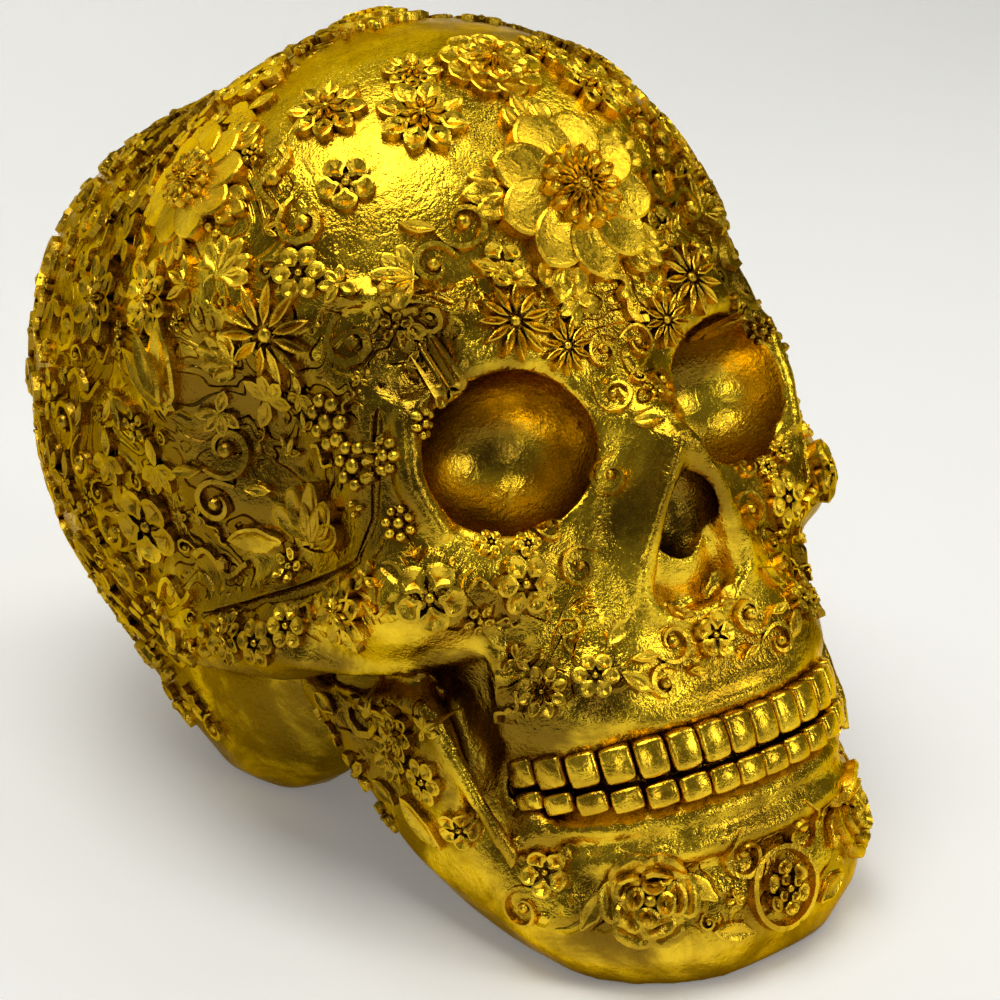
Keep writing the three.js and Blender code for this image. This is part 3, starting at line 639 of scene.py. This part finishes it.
# where a piece of relief sits: point, right, up and outward direction, felt over a small patch
def spotOn(point, radius):
    near, normal, _, _ = skinTree.find_nearest(point)
    side = normal.orthogonal().normalized()
    other = normal.cross(side)
    feel, reach = radius * pressing["feel"], pressing["reach"]
    total = Vector(normal)
    for i in range(6):
        a = i * math.pi / 3
        start = near + (side * math.cos(a) + other * math.sin(a)) * feel + normal * reach
        hit = skinTree.ray_cast(start, -normal, 2 * reach)
        if hit[0]:
            total += hit[1]
    normal = total.normalized()
    right = (tipped @ Vector((0, 0, 1))).cross(normal).normalized()
    return {"point": near, "right": right, "up": normal.cross(right), "out": normal}


def press(name, blank, spot, radius, high, turn=0.0, mirror=False):
    mesh = blank.data.copy()
    c, s = math.cos(turn), math.sin(turn)
    flip = -1 if mirror else 1
    far = pressing["fall"] * pressing["reach"]
    for point in mesh.vertices:
        x, y, z = point.co
        x, y = flip * (x * c - y * s) * radius, (x * s + y * c) * radius
        start = spot["point"] + spot["right"] * x + spot["up"] * y
        hit = skinTree.ray_cast(start + spot["out"] * pressing["reach"], -spot["out"], far)
        base, normal = (hit[0], hit[1]) if hit[0] else (start, spot["out"])
        lift = (normal + spot["out"] * pressing["lean"]).normalized()
        point.co = base + lift * (z * high if z > pressing["ground"] else -pressing["sink"])
    if mirror:
        mesh.flip_normals()
    piece = bpy.data.objects.new(name, mesh)
    scene.collection.objects.link(piece)
    return piece


# painted shade, partly dark wash, in the carved zones, and painted light where the amount is below 0: x, y, z in
# head shares, reach in shares and amount
shadeAndWashSpots = [(0.82, -0.5, -0.08, 0.34, 0.5), (0.59, -0.76, -0.04, 0.16, 1.1), (0.5, -0.35, -0.9, 0.3, 0.9),
             (0.7, -0.68, -0.3, 0.12, 0.5), (0.51, -0.73, -0.99, 0.11, 0.9), (0.54, -0.55, -1.05, 0.14, 0.5),
             (0, -0.82, -0.6, 0.12, 1.1), (0.23, -0.86, -0.6, 0.09, 0.4), (0.37, -0.84, -0.98, 0.08, 0.7),
             (0.48, -0.72, -1.49, 0.1, 0.5), (0.38, -0.8, -1.6, 0.1, 0.4), (0.38, -0.68, -0.19, 0.14, 0.9),
             (0.27, -0.68, -0.34, 0.09, 0.5), (0.44, -0.7, -0.47, 0.12, -0.7), (0.3, -0.78, 0.5, 0.5, -0.6),
             (0.7, -0.4, 0.75, 0.3, -0.3), (0.6, -0.72, -0.75, 0.22, 0.3), (0, 0, 1, 0.5, 0.3),
             (0.3, -0.85, -0.95, 0.4, -0.1), (0.2, -0.8, -1.6, 0.5, 0.1)]
# least painted shade and wash, more towards the back, painted shade on the left half of the forehead and in the
# cracks
shadeAndWashShape = {"least": 0.3, "back": 0.5, "backFrom": -0.62, "backReach": 0.5, "left": 0.6, "leftSlope": 4,
             "leftFrom": -0.1, "crack": 1.2, "crackReach": 0.002}
polishShape = {"reach": 0.0175, "edge": 0.0015}


# how much painted shade, partly dark wash, a point gets; spots below 0 paint light
def shadeAndWashAt(point):
    x, y, z = sharesOf(point)
    slope = shadeAndWashShape["leftSlope"]
    amount = shadeAndWashShape["least"] + shadeAndWashShape["back"] * clamped((y - shadeAndWashShape["backFrom"]) / shadeAndWashShape["backReach"])
    amount += shadeAndWashShape["left"] * clamped(slope * x) * clamped(slope * (z - shadeAndWashShape["leftFrom"]))
    for a, b, c, reach, more in shadeAndWashSpots:
        gap = (abs(x) - a) ** 2 + (y - b) ** 2 + (z - c) ** 2
        amount += more * math.exp(-gap / reach ** 2)
    amount += shadeAndWashShape["crack"] * math.exp(-(cracks.find(point)[2] / shadeAndWashShape["crackReach"]) ** 2)
    return clamped(amount)


def painted(piece, name, amountAt):
    paint = piece.data.attributes.new(name, "FLOAT", "POINT")
    paint.data.foreach_set("value", [amountAt(point) for point in piece.data.vertices])


def paintShadeAndWash(piece):
    share = 0 if piece.name.startswith("forehead") else 1  # the big flower is left bright, with no painted shade
    painted(piece, "shade_and_wash", lambda point: share * shadeAndWashAt(point.co))


# where the skin carries the low vine carving between the flowers
def paintCarving(piece):
    painted(piece, "carved", lambda point: float(mayFill(point.co, point.normal, bareShape["carving"])))


# the sockets are polished smooth
def paintPolish(piece):
    x, y, z = socketShape["at"]
    middles = [onHead(side * x, y, z) for side in (-1, 1)]
    reach, edge = polishShape["reach"], polishShape["edge"]
    painted(piece, "polish", lambda point: clamped((reach - min((point.co - a).length for a in middles)) / edge))


blanks = makeBlanks()
crumbs = makeCrumbs()
print("relief blanks made:", len(blanks) + len(crumbs))

# large relief, each piece in the place of its solid: blank, radius, height, turn
nodeRelief = {
    "forehead_flower": ("leafyDahlia", 0.0162, 0.0036, 0.1),
    "crown_flower": ("dahlia", 0.0094, 0.0021, 0.3),
    "top_dahlia": ("dahlia", 0.0108, 0.0021, 0),
    "rear_dahlia": ("leafyDahlia", 0.015, 0.0026, 0.2),
    "chin_medallion": ("medallion", 0.0074, 0.0018, 0),
}
pairRelief = {
    "upper_daisy": ("daisy", 0.0078, 0.0021, 0.2), "outer_daisy": ("daisy", 0.0069, 0.0018, 0.5),
    "small_flower": ("blossom", 0.0054, 0.0015, 0.35), "side_dahlia": ("leafyDahlia", 0.0122, 0.0024, 0.3),
    "temple_flower": ("aster", 0.0086, 0.0018, 0.1), "tulip_leaves": ("tulip", 0.0102, 0.0022, 0.15),
    "side_scroll": ("doubleScroll", 0.0098, 0.0018, 0.5), "berry_rosette": ("berries", 0.0056, 0.0018, 0),
    "leaf_fan": ("fan", 0.0098, 0.002, -0.5), "back_flower": ("daisy", 0.0086, 0.0021, 0.2),
    "low_flower": ("blossom", 0.0078, 0.0019, 0.1), "back_scroll": ("doubleScroll", 0.0092, 0.0018, 1.6),
    "top_flower": ("six", 0.0072, 0.0018, 0.2), "brow_flower": ("aster", 0.0064, 0.0017, 0.2),
    "eye_side_flower": ("berries", 0.0039, 0.0014, 0), "under_eye_flower": ("six", 0.0056, 0.0016, 0.3),
    "cheek_flower": ("blossom", 0.0061, 0.0018, 0.5), "cheek_daisy": ("daisy", 0.0068, 0.0019, 0),
    "arch_flower": ("six", 0.0046, 0.0014, 0.2), "mouth_flower": ("daisy", 0.0044, 0.0014, 0.1),
    "nose_scroll": ("scroll", 0.0044, 0.0011, 0.4), "lip_scroll": ("doubleScroll", 0.0072, 0.0014, 0.5),
    "jaw_rose": ("rose", 0.0092, 0.0022, 0.3), "ramus_flower": ("daisy", 0.0054, 0.0016, 0.2),
    "ramus_leaf": ("leaf", 0.0064, 0.0016, 0.5),
}

# smaller relief between them, on both sides: blank, x, y, z in head shares, radius, height, turn
smallRelief = [
    ("doubleScroll", 0.38, -0.79, 0.2, 0.0088, 0.0019, 0.2), ("fan", 0.53, -0.75, 0.16, 0.0064, 0.0016, 1.2),
    ("aster", 0.17, -0.85, -0.12, 0.0048, 0.0014, 0.1), ("six", 0.7, -0.63, 0.24, 0.005, 0.0015, 0.3),
    ("leaf", 0.24, -0.8, 0.08, 0.0046, 0.0013, 0.9), ("scroll", 0.06, -0.84, -0.16, 0.004, 0.0011, 0.4),
    ("blossom", 0.27, -0.82, 0.12, 0.0042, 0.0013, 0.3), ("daisy", 0.22, -0.67, 0.68, 0.0052, 0.0015, 0.4),
    ("berries", 0.7, -0.64, -0.26, 0.0048, 0.0016, 0.2), ("berries", 0.68, -0.7, -0.43, 0.0035, 0.0013, 0.4),
    ("blossom", 0.53, -0.8, -0.11, 0.0036, 0.0013, 0.1), ("berries", 0.6, -0.75, -0.2, 0.003, 0.0012, 0),
    ("six", 0.51, -0.78, -0.54, 0.0026, 0.0011, 0), ("six", 0.42, -0.8, -0.57, 0.0026, 0.0011, 0.4),
    ("scroll", 0.15, -0.85, -0.47, 0.0042, 0.0011, 1.2), ("scroll", 0.08, -0.87, -0.27, 0.004, 0.0011, 2.5),
    ("leaf", 0.05, -0.92, -0.36, 0.003, 0.001, 1.4), ("leaf", 0.27, -0.86, -0.84, 0.0038, 0.0012, 2.2),
    ("blossom", 0, -0.88, -0.93, 0.0044, 0.0014, 0.3), ("leaf", 0.08, -0.88, -0.84, 0.003, 0.0011, 0.9),
    ("six", 0.37, -0.84, -0.93, 0.0042, 0.0013, 0.2), ("leaf", 0.27, -0.86, -0.98, 0.0036, 0.0012, 0.8),
    ("scroll", 0.35, -0.84, -0.52, 0.0034, 0.001, 0.9),
    ("blossom", 0.53, -0.66, -1.38, 0.0044, 0.0015, 0.2), ("scroll", 0.1, -0.86, -1.48, 0.0052, 0.0013, 1.7),
    ("leaf", 0.17, -0.83, -1.66, 0.0044, 0.0013, 1.2), ("leaf", 0.25, -0.84, -1.52, 0.0046, 0.0013, 0.7),
    ("leaf", 0.48, -0.72, -1.5, 0.0044, 0.0013, -0.8), ("scroll", 0.59, -0.61, -1.46, 0.005, 0.0013, 0.3),
    ("six", 0.68, -0.51, -1.08, 0.0046, 0.0014, 0.1), ("blossom", 0.65, -0.54, -1.23, 0.004, 0.0014, 0.5),
    ("daisy", 0.7, -0.46, -0.94, 0.0054, 0.0015, 0.3),
    ("leaf", 0.68, -0.23, -0.84, 0.0036, 0.0012, 0.8), ("leaf", 0.68, -0.35, -1.1, 0.0034, 0.0012, 0.6),
    ("six", 0.85, -0.38, -0.6, 0.0044, 0.0014, 0.3), ("daisy", 0.92, -0.2, -0.58, 0.0048, 0.0014, 0.1),
    ("daisy", 0.89, -0.28, 0.32, 0.007, 0.0018, 0.2), ("fan", 0.84, -0.42, 0.12, 0.0062, 0.0016, 0.9),
    ("fan", 0.76, -0.5, 0.32, 0.0066, 0.0016, -0.9), ("leaf", 0.83, -0.3, -0.38, 0.0066, 0.0016, 1.3),
]
# ground taken so far, sorted into cells of this size
occupied = {}
grid = 0.012


def cellOf(point):
    return tuple(math.floor(c / grid) for c in point)


def isFree(point, radius):
    cells = itertools.product(*(range(c - 2, c + 3) for c in cellOf(point)))
    return not any((other - point).length < fillerShape["near"] * (radius + reach)
                   for cell in cells for other, reach in occupied.get(cell, ()))


def takeUp(point, radius):
    occupied.setdefault(cellOf(point), []).append((Vector(point), radius))


def finished(piece, *nodes):
    only(piece)
    bpy.ops.object.shade_smooth_by_angle(angle=math.radians(pressing["foldAngle"]))
    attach(piece, "root")
    if nodes:
        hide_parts(*nodes)


def layNodeRelief(node, blank, radius, high, turn, mirror=False):
    low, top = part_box(node)
    spot = spotOn((low + top) / 2, radius)
    piece = press(node + "_cast", blanks[blank], spot, radius, high, turn, mirror)
    finished(piece, node)
    takeUp(spot["point"], radius * pressing["largeRoom"])


for node, (blank, radius, high, turn) in nodeRelief.items():
    layNodeRelief(node, blank, radius, high, turn)
for node, (blank, radius, high, turn) in pairRelief.items():
    layNodeRelief(node + "_right", blank, radius, high, turn)
    layNodeRelief(node + "_left", blank, radius, high, turn, True)
print("large relief laid")

smallPieces = {-1: [], 1: []}
for blank, x, y, z, radius, high, turn in smallRelief:
    for side in (-1, 1) if x else (1,):
        spot = spotOn(onHead(side * x, y, z), radius)
        smallPieces[side].append(press("small_relief", blanks[blank], spot, radius, high, turn, side > 0))
        takeUp(spot["point"], radius * pressing["smallRoom"])

# filler between the flowers, scattered from a fixed seed and kept off the smooth places
fillerShape = {"seed": 7, "shares": (3, 3, 0.7, 2, 2.5, 3), "radii": (0.0062, 0.005, 0.0041, 0.0033, 0.0026, 0.002),
               "tries": 3200, "near": 0.76, "high": 0.0018, "leastHigh": 0.55, "uneven": (0.8, 1.15),
               "middle": (0, -0.05, -0.25), "away": 0.2}
far = 9  # beyond the head
# smooth zones in head shares: from and to along x, y and z
bareZones = {
    "forehead": ((-0.62, 0.36), (-far, -0.45), (0.1, 0.95)),
    "nose": ((-0.3, 0.3), (-far, -0.72), (-0.96, -0.34)),
    "teeth": ((-far, far), (-far, -0.3), (-1.46, -0.98)),
    "throat": ((-0.62, 0.62), (-0.69, 0), (-1.45, -0.74)),
    "archEdge": ((-far, far), (-0.72, -0.1), (-0.86, -0.65)),
}
mouthRecess = ((-0.8, 0.8), (-0.6, far), (-1.5, -0.6))
# other bare ground: the underside, the nape below the ear with its slanted edge, the sockets and the cracks.
# The face takes only small filler.
bareShape = {"floor": 0.012, "under": -0.75, "recessTurn": 0.4, "napeTop": -0.62, "napeFront": -0.15,
             "napeBack": 0.43, "napeSlant": 0.48, "socket": 0.0195, "crack": 0.0022, "spread": 0.6,
             "carving": 0.0022, "faceFront": -0.4, "faceTop": -0.05, "faceRadius": 0.0036}


def crackTree():
    places = []
    for line in crackLines:
        for (*a, _), (*b, _) in zip(line, line[1:]):
            places += [Vector(a).lerp(Vector(b), share) for share in (0, 0.25, 0.5, 0.75, 1)]
    tree = KDTree(len(places))
    for i, place in enumerate(places):
        tree.insert(place, i)
    tree.balance()
    return tree


cracks = crackTree()


def within(place, zone):
    return all(low < share < high for share, (low, high) in zip(place, zone))


def mayFill(point, normal, radius):
    place = x, y, z = sharesOf(point)
    spread = radius * bareShape["spread"]
    if point.z < bareShape["floor"] or normal.z < bareShape["under"]:
        return False
    if any(within(place, zone) for zone in bareZones.values()):
        return False
    if within(place, mouthRecess) and normal.x * x < bareShape["recessTurn"] * abs(x):
        return False
    over = z - bareShape["napeTop"]
    if over < 0 and bareShape["napeFront"] < y < bareShape["napeBack"] + bareShape["napeSlant"] * over:
        return False
    a, b, c = socketShape["at"]
    if (point - onHead(math.copysign(a, x), b, c)).length < bareShape["socket"] + spread:
        return False
    if cracks.find(point)[2] < bareShape["crack"] + spread:
        return False
    onFace = y < bareShape["faceFront"] and z < bareShape["faceTop"]
    return radius < bareShape["faceRadius"] if onFace else True


def scatterFiller():
    dice = random.Random(fillerShape["seed"])
    middle = onHead(*fillerShape["middle"])
    least = fillerShape["leastHigh"]
    pieces = {-1: [], 1: []}
    for radius in fillerShape["radii"]:
        for _ in range(fillerShape["tries"]):
            ray = Vector((dice.gauss(0, 1), dice.gauss(0, 1), dice.gauss(0, 1))).normalized()
            hit = skinTree.ray_cast(middle + ray * fillerShape["away"], -ray)
            if not hit[0] or not mayFill(hit[0], hit[1], radius) or not isFree(hit[0], radius):
                continue
            takeUp(hit[0], radius)
            blank = dice.choices(crumbs, fillerShape["shares"])[0]
            high = fillerShape["high"] * (least + (1 - least) * radius / fillerShape["radii"][0])
            high *= dice.uniform(*fillerShape["uneven"])
            spot = spotOn(hit[0], radius)
            side = -1 if hit[0].x < 0 else 1
            pieces[side].append(press("filler", blank, spot, radius, high, dice.uniform(0, 2 * math.pi)))
    return pieces


filler = scatterFiller()
print("filler laid:", sum(len(pieces) for pieces in filler.values()))
for side, name in ((-1, "right"), (1, "left")):
    finished(joined(smallPieces[side], "small_relief_" + name))
    finished(joined(filler[side], "filler_relief_" + name))
for blank in list(blanks.values()) + crumbs:
    drop(blank)


# a node's sockets get a number, a colour or another node's output
def feed(tree, node, inputs):
    for socket, value in inputs.items():
        if isinstance(value, (int, float, tuple)):
            node.inputs[socket].default_value = value
        else:
            tree.links.new(value, node.inputs[socket])
    return node


def addNode(tree, kind, inputs, **settings):
    node = tree.nodes.new("ShaderNode" + kind)
    for key, value in settings.items():
        setattr(node, key, value)
    return feed(tree, node, inputs)


def smoothRange(tree, value, low, high, most=1):
    inputs = {"Value": value, "From Min": low, "From Max": high, "To Max": most}
    return addNode(tree, "MapRange", inputs, interpolation_type="SMOOTHSTEP").outputs["Result"]


# gold leaf over cast resin: a shared grain gives each finish its tone, dullness, pits and crinkle
leafSockets = ("Grain Size", "Crinkle Size", "Patch Size", "Crinkle", "Dull", "Shine")
grainLook = {"tone": (0.38, 0.66), "cell": 0.7, "cellPit": (0.26, 0.06), "crinklePit": (0.5, 0.66), "pitDepth": 0.25,
             "vine": (0.0105, 1, 0.4, 0.9), "vineBands": 4.5, "vineEdge": (0.16, 0.34), "vineDark": 0.5,
             "vineShine": 0.07, "dull": (0.75, 1.25), "polish": 0.4}


def makeGrain():
    tree = bpy.data.node_groups.new("leaf grain", "ShaderNodeTree")
    for name in (*leafSockets, "Carving", "Polish"):
        tree.interface.new_socket(name, in_out="INPUT", socket_type="NodeSocketFloat")
    for name in ("Tone", "Pits", "Roughness", "Height"):
        tree.interface.new_socket(name, in_out="OUTPUT", socket_type="NodeSocketFloat")
    given = tree.nodes.new("NodeGroupInput").outputs
    put = tree.nodes.new("NodeGroupOutput")
    place = tree.nodes.new("ShaderNodeTexCoord").outputs["Object"]

    def math_(kind, a, b):
        return addNode(tree, "Math", {0: a, 1: b}, operation=kind).outputs[0]

    def noise_(size, detail, rough, distortion=0.0):
        inputs = {"Vector": place, "Scale": math_("DIVIDE", 1, size), "Detail": detail, "Roughness": rough,
                  "Distortion": distortion}
        return addNode(tree, "TexNoise", inputs).outputs["Fac"]

    def range_(value, name):
        return smoothRange(tree, value, *grainLook[name])

    fine = noise_(given["Grain Size"], 2, 0.65)
    crinkle = noise_(given["Crinkle Size"], 4, 0.6, 0.8)
    patch = noise_(given["Patch Size"], 5, 0.62, 0.5)
    scale = math_("DIVIDE", grainLook["cell"], given["Crinkle Size"])
    cells = addNode(tree, "TexVoronoi", {"Vector": place, "Scale": scale}).outputs["Distance"]
    # the pits and the low bands of the vine carving are given out as Pits, which the material paints with its recess
    # shade
    spots = math_("MULTIPLY", range_(cells, "cellPit"), range_(crinkle, "crinklePit"))
    bands = math_("PINGPONG", math_("MULTIPLY", noise_(*grainLook["vine"]), grainLook["vineBands"]), 0.5)
    raised = math_("MULTIPLY", range_(bands, "vineEdge"), given["Carving"])
    sunk = math_("MULTIPLY", math_("SUBTRACT", given["Carving"], raised), grainLook["vineDark"])
    dull = math_("MULTIPLY", given["Dull"], range_(math_("ADD", crinkle, fine), "dull"))
    polished = math_("MULTIPLY", given["Carving"], grainLook["vineShine"])
    rough = math_("MULTIPLY", crinkle, given["Crinkle"])
    sand = math_("MULTIPLY", fine, math_("SUBTRACT", 1, given["Crinkle"]))
    grain = math_("SUBTRACT", math_("ADD", rough, sand), math_("MULTIPLY", spots, grainLook["pitDepth"]))
    kept = math_("SUBTRACT", 1, math_("MULTIPLY", given["Polish"], grainLook["polish"]))
    feed(tree, put, {
        "Tone": range_(patch, "tone"),
        "Pits": math_("MAXIMUM", spots, sunk),
        "Roughness": math_("SUBTRACT", math_("ADD", given["Shine"], dull), polished),
        "Height": math_("ADD", math_("MULTIPLY", grain, kept), raised),
    })
    return tree


leafGrain = makeGrain()
# grain: the sockets of the shared grain in their order
# bright and dull are the leaf's own random tones; the recess colour is painted shade, and the wash colour is painted
# shade and light with some dark wash
goldLook = {
    "skin": {"bright": (0.93, 0.62, 0.028, 1), "dull": (0.52, 0.31, 0.014, 1), "recessShade": (0.19, 0.095, 0.006, 1),
             "shade_and_wash": (0.15, 0.082, 0.008, 1), "shadeAndWashShare": 0.88, "grain": (0.0007, 0.0042, 0.018, 0.72, 0.18, 0.12),
             "bump": 0.0005, "reach": 0.0045, "recessShadeAt": (0.22, 0.78)},
    "relief": {"bright": (0.95, 0.63, 0.032, 1), "dull": (0.7, 0.42, 0.018, 1), "recessShade": (0.14, 0.075, 0.006, 1),
               "shade_and_wash": (0.17, 0.095, 0.01, 1), "shadeAndWashShare": 0.66, "grain": (0.0006, 0.0024, 0.016, 0.75, 0.2, 0.18),
               "bump": 0.00026, "reach": 0.0016, "recessShadeAt": (0.1, 0.58)},
    "teeth": {"bright": (0.94, 0.62, 0.03, 1), "dull": (0.7, 0.42, 0.018, 1), "recessShade": (0.2, 0.1, 0.006, 1),
              "shade_and_wash": (0.2, 0.115, 0.01, 1), "shadeAndWashShare": 0.5, "grain": (0.0007, 0.0032, 0.014, 0.8, 0.17, 0.14),
              "bump": 0.0003, "reach": 0.0018, "recessShadeAt": (0.12, 0.6)},
}
goldShape = {"tint": (0.95, 0.72, 0.25, 1), "occlusionSamples": 6, "uneven": -0.5, "shadeAndWashFull": 0.75}


def makeGold(name, look):
    gold = bpy.data.materials.new("gold leaf " + name)
    gold.use_nodes = True
    tree = gold.node_tree

    def paint_(attribute):
        return addNode(tree, "Attribute", {}, attribute_name=attribute).outputs["Fac"]

    def mixed(fac, a, b):
        return addNode(tree, "Mix", {"Factor": fac, "A": a, "B": b}, data_type="RGBA").outputs["Result"]

    grain = addNode(tree, "Group", {}, node_tree=leafGrain)
    feed(tree, grain, dict(zip(leafSockets, look["grain"])))
    if name == "skin":
        feed(tree, grain, {"Carving": paint_("carved"), "Polish": paint_("polish")})
    grain = grain.outputs
    # painted shade: the recess colour goes into the pits and carved grooves, and wherever ambient occlusion finds
    # the surface hemmed in
    shade = addNode(tree, "AmbientOcclusion", {"Distance": look["reach"]}, samples=goldShape["occlusionSamples"])
    uneven = addNode(tree, "Math", {0: grain["Tone"], 1: goldShape["uneven"], 2: paint_("shade_and_wash")},
                     operation="MULTIPLY_ADD").outputs[0]
    color = mixed(grain["Tone"], look["dull"], look["bright"])
    # the painted shade and light, with some dark wash, is mixed in here, made uneven by the leaf's tone
    color = mixed(smoothRange(tree, uneven, 0, goldShape["shadeAndWashFull"], look["shadeAndWashShare"]), color, look["shade_and_wash"])
    color = mixed(grain["Pits"], color, look["recessShade"])
    color = mixed(smoothRange(tree, shade.outputs["AO"], *look["recessShadeAt"]), look["recessShade"], color)
    bump = addNode(tree, "Bump", {"Strength": 1, "Distance": look["bump"], "Height": grain["Height"]})
    feed(tree, tree.nodes["Principled BSDF"], {
        "Metallic": 1, "Specular Tint": goldShape["tint"], "Base Color": color, "Roughness": grain["Roughness"],
        "Normal": bump.outputs["Normal"],
    })
    return gold


golds = {name: makeGold(name, look) for name, look in goldLook.items()}
for piece in list(bpy.data.objects):
    if piece.type == "MESH":
        finish = "skin" if piece == skin else "teeth" if "teeth" in piece.name else "relief"
        piece.data.materials.clear()
        piece.data.materials.append(golds[finish])
        if not piece.hide_render:
            paintShadeAndWash(piece)
paintCarving(skin)
paintPolish(skin)
faceCounts = {piece.name: sum(len(face.vertices) - 2 for face in piece.data.polygons)
              for piece in bpy.data.objects if piece.type == "MESH" and not piece.hide_render}
most = max(faceCounts, key=faceCounts.get)
print("gold leaf laid on:", sum(faceCounts.values()), "triangles, most in", most, faceCounts[most])

# pale table that turns up into a backdrop
tableShape = {"width": 4, "front": -1.6, "back": 0.9, "high": 1.6, "bend": 0.5, "bendSteps": 16,
              "edge": 0.01}


def paleTable():
    front, back, edge = (tableShape[name] for name in ("front", "back", "edge"))
    bpy.ops.mesh.primitive_plane_add(size=1)
    table = bpy.context.object
    table.data.transform(Matrix.Translation((0, (front + back) / 2, 0))
                         @ Matrix.Diagonal((tableShape["width"], back - front, 1, 1)))
    editing(table)
    pickPoints(lambda p: p.y > back - edge)
    bpy.ops.mesh.extrude_region_move(TRANSFORM_OT_translate={"value": (0, 0, tableShape["high"])})
    pickPoints(lambda p: p.y > back - edge and p.z < edge)
    bpy.ops.mesh.select_mode(type="EDGE")
    bpy.ops.mesh.bevel(offset=tableShape["bend"], segments=tableShape["bendSteps"], affect="EDGES")
    table = done()
    only(table)
    bpy.ops.object.shade_smooth()
    table.name = "pale_table"
    return table


table = paleTable()
# pale paper, a little lighter where the camera or the gold sees it
paperLook = {"color": (0.96, 0.96, 0.94, 1), "glow": 0.14, "roughness": 0.5}
paper = bpy.data.materials.new("pale paper")
paper.use_nodes = True
paperTree = paper.node_tree
rays = paperTree.nodes.new("ShaderNodeLightPath").outputs
seen = addNode(paperTree, "Math", {0: rays["Is Camera Ray"], 1: rays["Is Glossy Ray"]}, operation="MAXIMUM")
glow = addNode(paperTree, "Math", {0: seen.outputs[0], 1: paperLook["glow"]}, operation="MULTIPLY")
feed(paperTree, paperTree.nodes["Principled BSDF"], {
    "Base Color": paperLook["color"], "Roughness": paperLook["roughness"], "Emission Color": paperLook["color"],
    "Emission Strength": glow.outputs[0],
})
table.data.materials.append(paper)

room = {"color": (1, 0.98, 0.95, 1), "strength": 0.14}
world = bpy.data.worlds.new("room")
scene.world = world
world.use_nodes = True
world.node_tree.nodes["Background"].inputs["Color"].default_value = room["color"]
world.node_tree.nodes["Background"].inputs["Strength"].default_value = room["strength"]

# place, height of what it is aimed at, size, watts and colour
lamps = {
    "ceiling": ((-0.2, -0.02, 1.17), 0.08, (0.8, 0.6), 7.3, (1, 0.99, 0.95)),
    "strip": ((0.72, -0.24, 0.97), 0.1, (0.5, 0.5), 2.1, (1, 0.99, 0.95)),
    "window": ((0.55, -1.1, 0.55), 0.06, (0.35, 0.5), 2.3, (1, 1, 1)),
    "doorway": ((-0.85, -1.1, 0.5), 0.06, (0.4, 0.6), 1.6, (1, 1, 1)),
}


def hangLamp(name, at, aim, size, power, color):
    data = bpy.data.lights.new(name, "AREA")
    data.shape = "RECTANGLE"
    data.size, data.size_y = size
    data.energy = power
    data.color = color
    piece = bpy.data.objects.new(name, data)
    scene.collection.objects.link(piece)
    away = Vector(at) - Vector((0, 0, aim))
    piece.matrix_world = Matrix.Translation(at) @ away.to_track_quat("Z", "Y").to_matrix().to_4x4()


for name, lamp in lamps.items():
    hangLamp(name, *lamp)

scene.view_settings.view_transform = "Standard"
